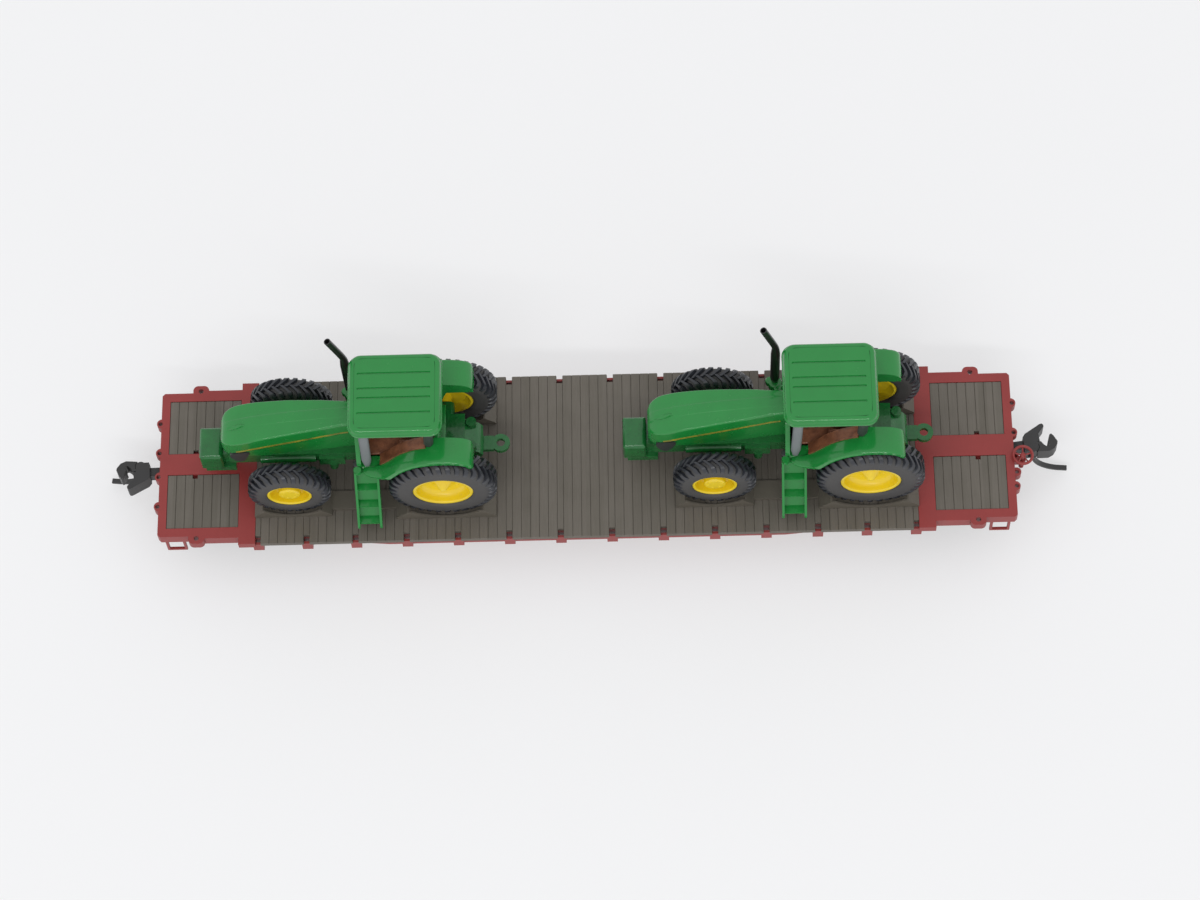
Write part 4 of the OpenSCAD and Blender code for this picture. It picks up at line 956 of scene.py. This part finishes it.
    def add_platform(self, shape: Shape) -> None:
        """Adds the platform, the cowl, the back wall of the cab and the exhaust's boss."""
        cowl = rounded([[-4.62, 7.9], [-4.62, 9.3], [-3.1, 11.6], [-2.4, 13.2], [2.4, 13.2], [3.1, 11.6],
                        [4.62, 9.3], [4.62, 7.9]], closed=True)
        shape.closed(prism(cowl, -9.92, -9.4, "x"), Look.GREEN)
        cap = np.array([[0.0, 0.32], [0.36, 0.32], [0.45, 0.22], [0.45, -0.1], [0.0, -0.1]])
        shape.grid(revolve(cap, (-9.95, -4.25, 8.35), 24, "z"), Look.DARK, True)
        shape.boxes([((-9.6, -4.62, 7.4), (-6.7, 4.62, self.floor), 0.2),
                     ((-9.4, -3.35, 7.4), (0.4, 3.35, self.floor), 0.2),
                     ((-0.6, -3.4, 8.0), (0.0, 3.4, 12.9), 0.2),
                     ((-11.1, 2.4, 7.1), (-10.2, 5.0, 7.8), 0.3)], Look.GREEN)
        boss = np.array([[0, -1.3], [0.6, -1.3], [0.8, -1.1], [0.85, -0.1], [0.75, 0.15], [0.6, 0.2],
                         [0, 0.2]])
        for dx, dy, size in ((0, 0, 1.0), (-0.65, 0.25, 0.6), (0.35, -0.7, 0.7)):
            shape.grid(revolve(boss * size, (-10.8 + dx, 5.05 + dy, 8.2), 28, "z"), Look.GREEN, True)

    def roof(self) -> None:
        """Makes the cab roof: a domed slab with round corners, a lip and four grooves."""
        low, high = self.local_box("roof")
        shape = self.start("roof")
        foot, top = low[2], high[2]
        # rings as inset and height: from the underside, out round the lip, and in over the top
        rings = [(0.55, foot + 0.25), (0.5, foot), (0.1, foot), (0.02, foot + 0.06), (0.0, foot + 0.18),
                 (0.04, foot + 0.34), (0.14, foot + 0.42), (0.18, foot + 0.52), (0.22, top - 0.36),
                 (0.3, top - 0.2), (0.44, top - 0.08), (0.62, top - 0.02), (0.8, top)]
        turn = np.linspace(0, math.pi / 2, 9)
        rows = []
        for inset, z in rings:
            a, b = low[:2] + inset, high[:2] - inset
            corner = max(1.45 - inset * 0.7, 0.45)
            centres = [(b[0] - corner, b[1] - corner), (a[0] + corner, b[1] - corner),
                       (a[0] + corner, a[1] + corner), (b[0] - corner, a[1] + corner)]
            rows.append(np.concatenate([
                np.stack([x + corner * np.cos(turn + q * math.pi / 2),
                          y + corner * np.sin(turn + q * math.pi / 2), np.full(len(turn), z)], -1)
                for q, (x, y) in enumerate(centres)]))
        shape.grid(np.stack(rows), Look.GREEN, False, True)
        self.add_grooved_top(shape, rows[-1], top)
        under = np.broadcast_to(rows[0].mean(axis=0), rows[0].shape)
        shape.grid(np.stack([under, rows[0]]), Look.DARK, False, True)
        self.finish(shape, "roof", 30)

    def add_grooved_top(self, shape: Shape, rim: np.ndarray, top: float) -> None:
        """Closes the roof's top face with a height field that has the four grooves in it.

        Args:
            shape: the roof.
            rim: the top face's outline.
            top: the height of the top face.
        """
        (x0, y0), (x1, y1) = rim[:, :2].min(axis=0), rim[:, :2].max(axis=0)
        grooves = np.array([-2.5, -0.6, 0.6, 2.5])
        half, slope, depth = 0.07, 0.05, 0.13
        cuts = (grooves[:, None] + np.array([-half - slope, -half, half, half + slope])[None]).ravel()
        ys = np.sort(np.concatenate([np.linspace(y0 + 0.02, y1 - 0.02, 25), cuts]))
        xs = np.sort(np.concatenate([np.linspace(x0 + 0.02, x1 - 0.02, 31), [-9.1, -9.0, -0.75, -0.65]]))
        gx, gy = np.meshgrid(xs, ys, indexing="ij")
        near = np.abs(gy[..., None] - grooves).min(-1)
        along = (gx > -9.05) & (gx < -0.7)
        cut = np.clip((half + slope - near) / slope, 0, 1) * along
        mid_x, mid_y = (x0 + x1) / 2, (y0 + y1) / 2
        half_x, half_y = (x1 - x0) / 2, (y1 - y0) / 2
        u, v = (gx - mid_x) / half_x, (gy - mid_y) / half_y
        # a square corner of the field would pass the round corner of the rim, so it is drawn in
        squeeze = 1 - 0.05 * (np.abs(u) ** 10) * (np.abs(v) ** 10)
        x, y = mid_x + u * half_x * squeeze, mid_y + v * half_y * squeeze
        shape.grid(np.stack([x, y, top - depth * cut], -1), Look.GREEN)

    def cab(self) -> None:
        """Makes the cab's pillars and rails as round-edged bars between the sill and the roof."""
        _, (_, y1, top) = self.local_box("cab")
        shape = self.start("cab")
        half = 0.58
        flat = rounded([[-half, -0.25], [half, -0.25], [half, 0.25], [-half, 0.25]], closed=True)
        # each post: foot and head in x and z, and its paint
        posts = [((-8.75, 8.45), (-8.5, top), Look.PILLAR), ((-1.2, 13.5), (-0.95, top), Look.DARK)]
        for side in SIDES:
            y = side * (y1 - 0.28)
            for (xa, za), (xb, zb), look in posts:
                line = np.stack([np.linspace(xa, xb, 8), np.full(8, y), np.linspace(za, zb, 8)], -1)
                swell = np.interp(np.arange(8), [0, 1, 7], [0.62, 1.0, 1.0])[:, None, None]
                section = flat[None] * np.concatenate([swell, np.ones_like(swell)], -1)
                shape.closed(tube(line, section, (0, 1, 0)), look)
            shape.boxes([((-8.9, y - 0.27, top - 0.5), (-0.5, y + 0.27, top), 0.12)], Look.PILLAR)
        shape.boxes([((x, -y1 + 0.3, top - 0.5), (x + 0.5, y1 - 0.3, top), 0.12) for x in (-8.9, -1.0)],
                    Look.PILLAR)
        self.finish(shape, "cab", 40)

    def interior(self) -> None:
        """Makes the cab's inside: floor tub, seat, consoles, dash, column and steering wheel."""
        shape = self.start("interior")
        z = self.floor
        boxes = [((-8.9, -3.05, z), (-0.65, 3.05, z + 0.4), 0.15),
                 ((-4.4, -1.0, z + 0.3), (-2.6, 1.0, z + 2.1), 0.3),
                 ((-5.4, -1.6, z + 1.9), (-2.0, 1.6, z + 2.9), 0.42),
                 ((-8.85, -1.2, z + 0.3), (-7.75, 1.2, z + 3.6), 0.35)]
        for side in SIDES:
            near, far = sorted((side * 2.2, side * 3.1))
            boxes.append(((-4.9, near, z + 0.3), (-1.4, far, z + 2.6), 0.3))
            near, far = sorted((side * 1.75, side * 2.15))
            boxes.append(((-4.6, near, z + 3.2), (-2.4, far, z + 3.6), 0.18))
        shape.boxes(boxes, Look.COPPER)
        self.add_arches(shape)
        back = rounded([[-1.5, z + 2.6], [1.5, z + 2.6], [1.45, z + 5.4], [1.0, z + 6], [-1.0, z + 6],
                        [-1.45, z + 5.4]], closed=True)
        shape.closed(prism(back, -2.6, -1.85, "x"), Look.COPPER)
        self.add_steering(shape, np.array([-7.9, 0.0, z + 3.2]))
        self.finish(shape, "interior", 40)

    def add_steering(self, shape: Shape, start: np.ndarray) -> None:
        """Adds the steering column and its wheel, leaning back towards the seat.

        Args:
            shape: the interior that they are part of.
            start: the column's foot.
        """
        lean = np.array([math.sin(math.radians(35)), 0.0, math.cos(math.radians(35))])
        across, sideways = np.array([lean[2], 0.0, -lean[0]]), np.array([0.0, 1.0, 0.0])
        column = start + lean * np.linspace(0, 1.6, 5)[:, None]
        shape.closed(tube(column, round_section(0.26, 14), sideways), Look.DARK)
        hub = start + lean * 1.65
        turn = np.linspace(0, TURN, 40, endpoint=False)[:, None]
        ring = hub + 1.1 * (np.cos(turn) * across + np.sin(turn) * sideways)
        wheel = tube(np.concatenate([ring, ring[:2]]), round_section(0.13, 10), lean)[:-2]
        shape.grid(wheel, Look.DARK, True, True)
        for angle in (0.5, 2.6, 4.71):
            reach = math.cos(angle) * across + math.sin(angle) * sideways
            spoke = hub + np.linspace(0, 1.08, 4)[:, None] * reach
            shape.closed(tube(spoke, round_section(0.1, 8), lean), Look.DARK)

    def add_arches(self, shape: Shape) -> None:
        """Adds the wheel arches inside the cab: the fender's line carried inwards, and a skirt."""
        line = self.fender_line()
        line = line[(line[:, 0] > -7.3) & (line[:, 0] < -1.3) & (line[:, 1] > 8.5)]
        rim = np.array([[3.05, -0.35], [3.05, -0.12], [3.25, 0.0], [4.35, 0.0], [4.57, 0.14], [4.57, -0.35]])
        shape.pair(self.carried(line, rim[None, :, 0], rim[None, :, 1]), Look.COPPER)
        head, foot = line[:, 1] - 0.15, self.floor
        shape.pair(ribbon(line[:, 0], [(3.05, head), (3.28, head), (3.28, foot), (3.05, foot)]), Look.COPPER)

    def exhaust(self) -> None:
        """Makes the exhaust: a slim silencer, a neck, and a pipe that bends back to its open mouth."""
        low, high = self.local_box("exhaust")
        x, y = -10.85, (low[1] + high[1]) / 2
        bend, top = 17.35, high[2]
        line = rounded([[x, 7.7], [x, 9.0], [x, 12.0], [x, bend - 1.2], [x, bend - 0.2],
                        [x - 0.2, bend + 0.6], [x - 1.45, top - 0.15]], 3)
        path = np.stack([line[:, 0], np.full(len(line), y), line[:, 1]], -1)
        size = np.interp(line[:, 1], [7.7, 8.6, 9.0, 15.6, 16.4, 17.4, top],
                         [0.4, 0.42, 0.56, 0.56, 0.5, 0.4, 0.4])[:, None, None]
        ring = round_section(1.0, 24)[None]
        outer = tube(path, size * ring, (0, 1, 0))
        bore = tube(path[-6:], size[-6:] * 0.72 * ring, (0, 1, 0))[::-1]
        shape = self.start("exhaust")
        shape.closed(np.concatenate([outer, bore]), Look.EXHAUST)
        self.finish(shape, "exhaust", 40)


# ---- Stage ----

@dataclass
class Studio:
    """Pale floor, soft lights and the camera."""
    azimuth: float = 3.34
    elevation: float = 65.98
    roll: float = -4.47
    distance_mm: float = 434.9
    lens: float = 109.3
    target_mm: tuple[float, float, float] = (1.74, 0.55, 8.0)
    floor_mm: float = 3000.0
    tent: float = 1.02

    def build(self) -> None:
        """Sets up the floor, the world, the lights and the camera."""
        self.floor()
        self.lights()
        self.camera()

    def floor(self) -> None:
        """Makes the floor that the wheels stand on."""
        mesh = bpy.data.meshes.new("floor")
        s = self.floor_mm * MM / 2
        mesh.from_pydata([(-s, -s, 0), (s, -s, 0), (s, s, 0), (-s, s, 0)], [], [(0, 1, 2, 3)])
        floor = linked("floor", mesh)
        # lit from below as well, so that shadows on it stay pale
        paper = Finish("translucent white acrylic", "#ababac", "#a9a9aa", roughness=0.9, bump=0.0,
                       mottle_mm=60.0, glow=0.44)
        mesh.materials.append(paper.material())

    def area(self, name: str, place: Sequence[float], size: Sequence[float], power: float) -> None:
        """Adds one soft rectangular light that faces the middle of the floor.

        Args:
            name: the light's name.
            place: where it hangs, in millimetres.
            size: its width and height in millimetres.
            power: its power in watts.
        """
        data = bpy.data.lights.new(name, "AREA")
        data.shape = "RECTANGLE"
        data.size, data.size_y = size[0] * MM, size[1] * MM
        data.energy = power
        light = linked(name, data)
        light.location = Vector(place) * MM
        light.rotation_euler = (-light.location).to_track_quat("-Z", "Y").to_euler()

    def lights(self) -> None:
        """Lights the model as a light tent does, pale all round, with one long strip in front."""
        world = bpy.data.worlds.new("tent")
        world.use_nodes = True
        world.node_tree.nodes["Background"].inputs[0].default_value = linear("#f5f6f8")
        world.node_tree.nodes["Background"].inputs[1].default_value = self.tent
        bpy.context.scene.world = world
        bpy.context.scene.view_settings.view_transform = "Standard"
        self.area("strip", (-80, -560, 640), (760, 34), 2.0)

    def camera(self) -> None:
        """Places the camera at the azimuth, elevation and roll of the view."""
        a, e, r = (math.radians(v) for v in (self.azimuth, self.elevation, self.roll))
        back = Vector((math.sin(a) * math.cos(e), -math.cos(a) * math.cos(e), math.sin(e)))
        right = (-back).cross(Vector((0, 0, 1))).normalized()
        up = right.cross(-back)
        right_r = right * math.cos(r) + up * math.sin(r)
        up_r = up * math.cos(r) - right * math.sin(r)
        data = bpy.data.cameras.new("camera")
        data.lens = self.lens
        data.sensor_width = 36.0
        data.clip_start = 0.01
        camera = linked("camera", data)
        place = Vector(self.target_mm) * MM + back * self.distance_mm * MM
        turn = Matrix((right_r, up_r, back)).transposed().to_4x4()
        camera.matrix_world = Matrix.Translation(place) @ turn
        bpy.context.scene.camera = camera


def main() -> None:
    """Loads the frame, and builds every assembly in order."""
    logging.basicConfig(level=logging.INFO, format="%(name)s: %(message)s")
    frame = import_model()
    rig = Rig(frame)
    Studio().build()
    CarBody(rig).build()
    Handbrake(rig).build()
    RunningGear(rig).build()
    for number in (1, 2):
        Tractor(rig, number).build()


if __name__ == "__main__":
    main()
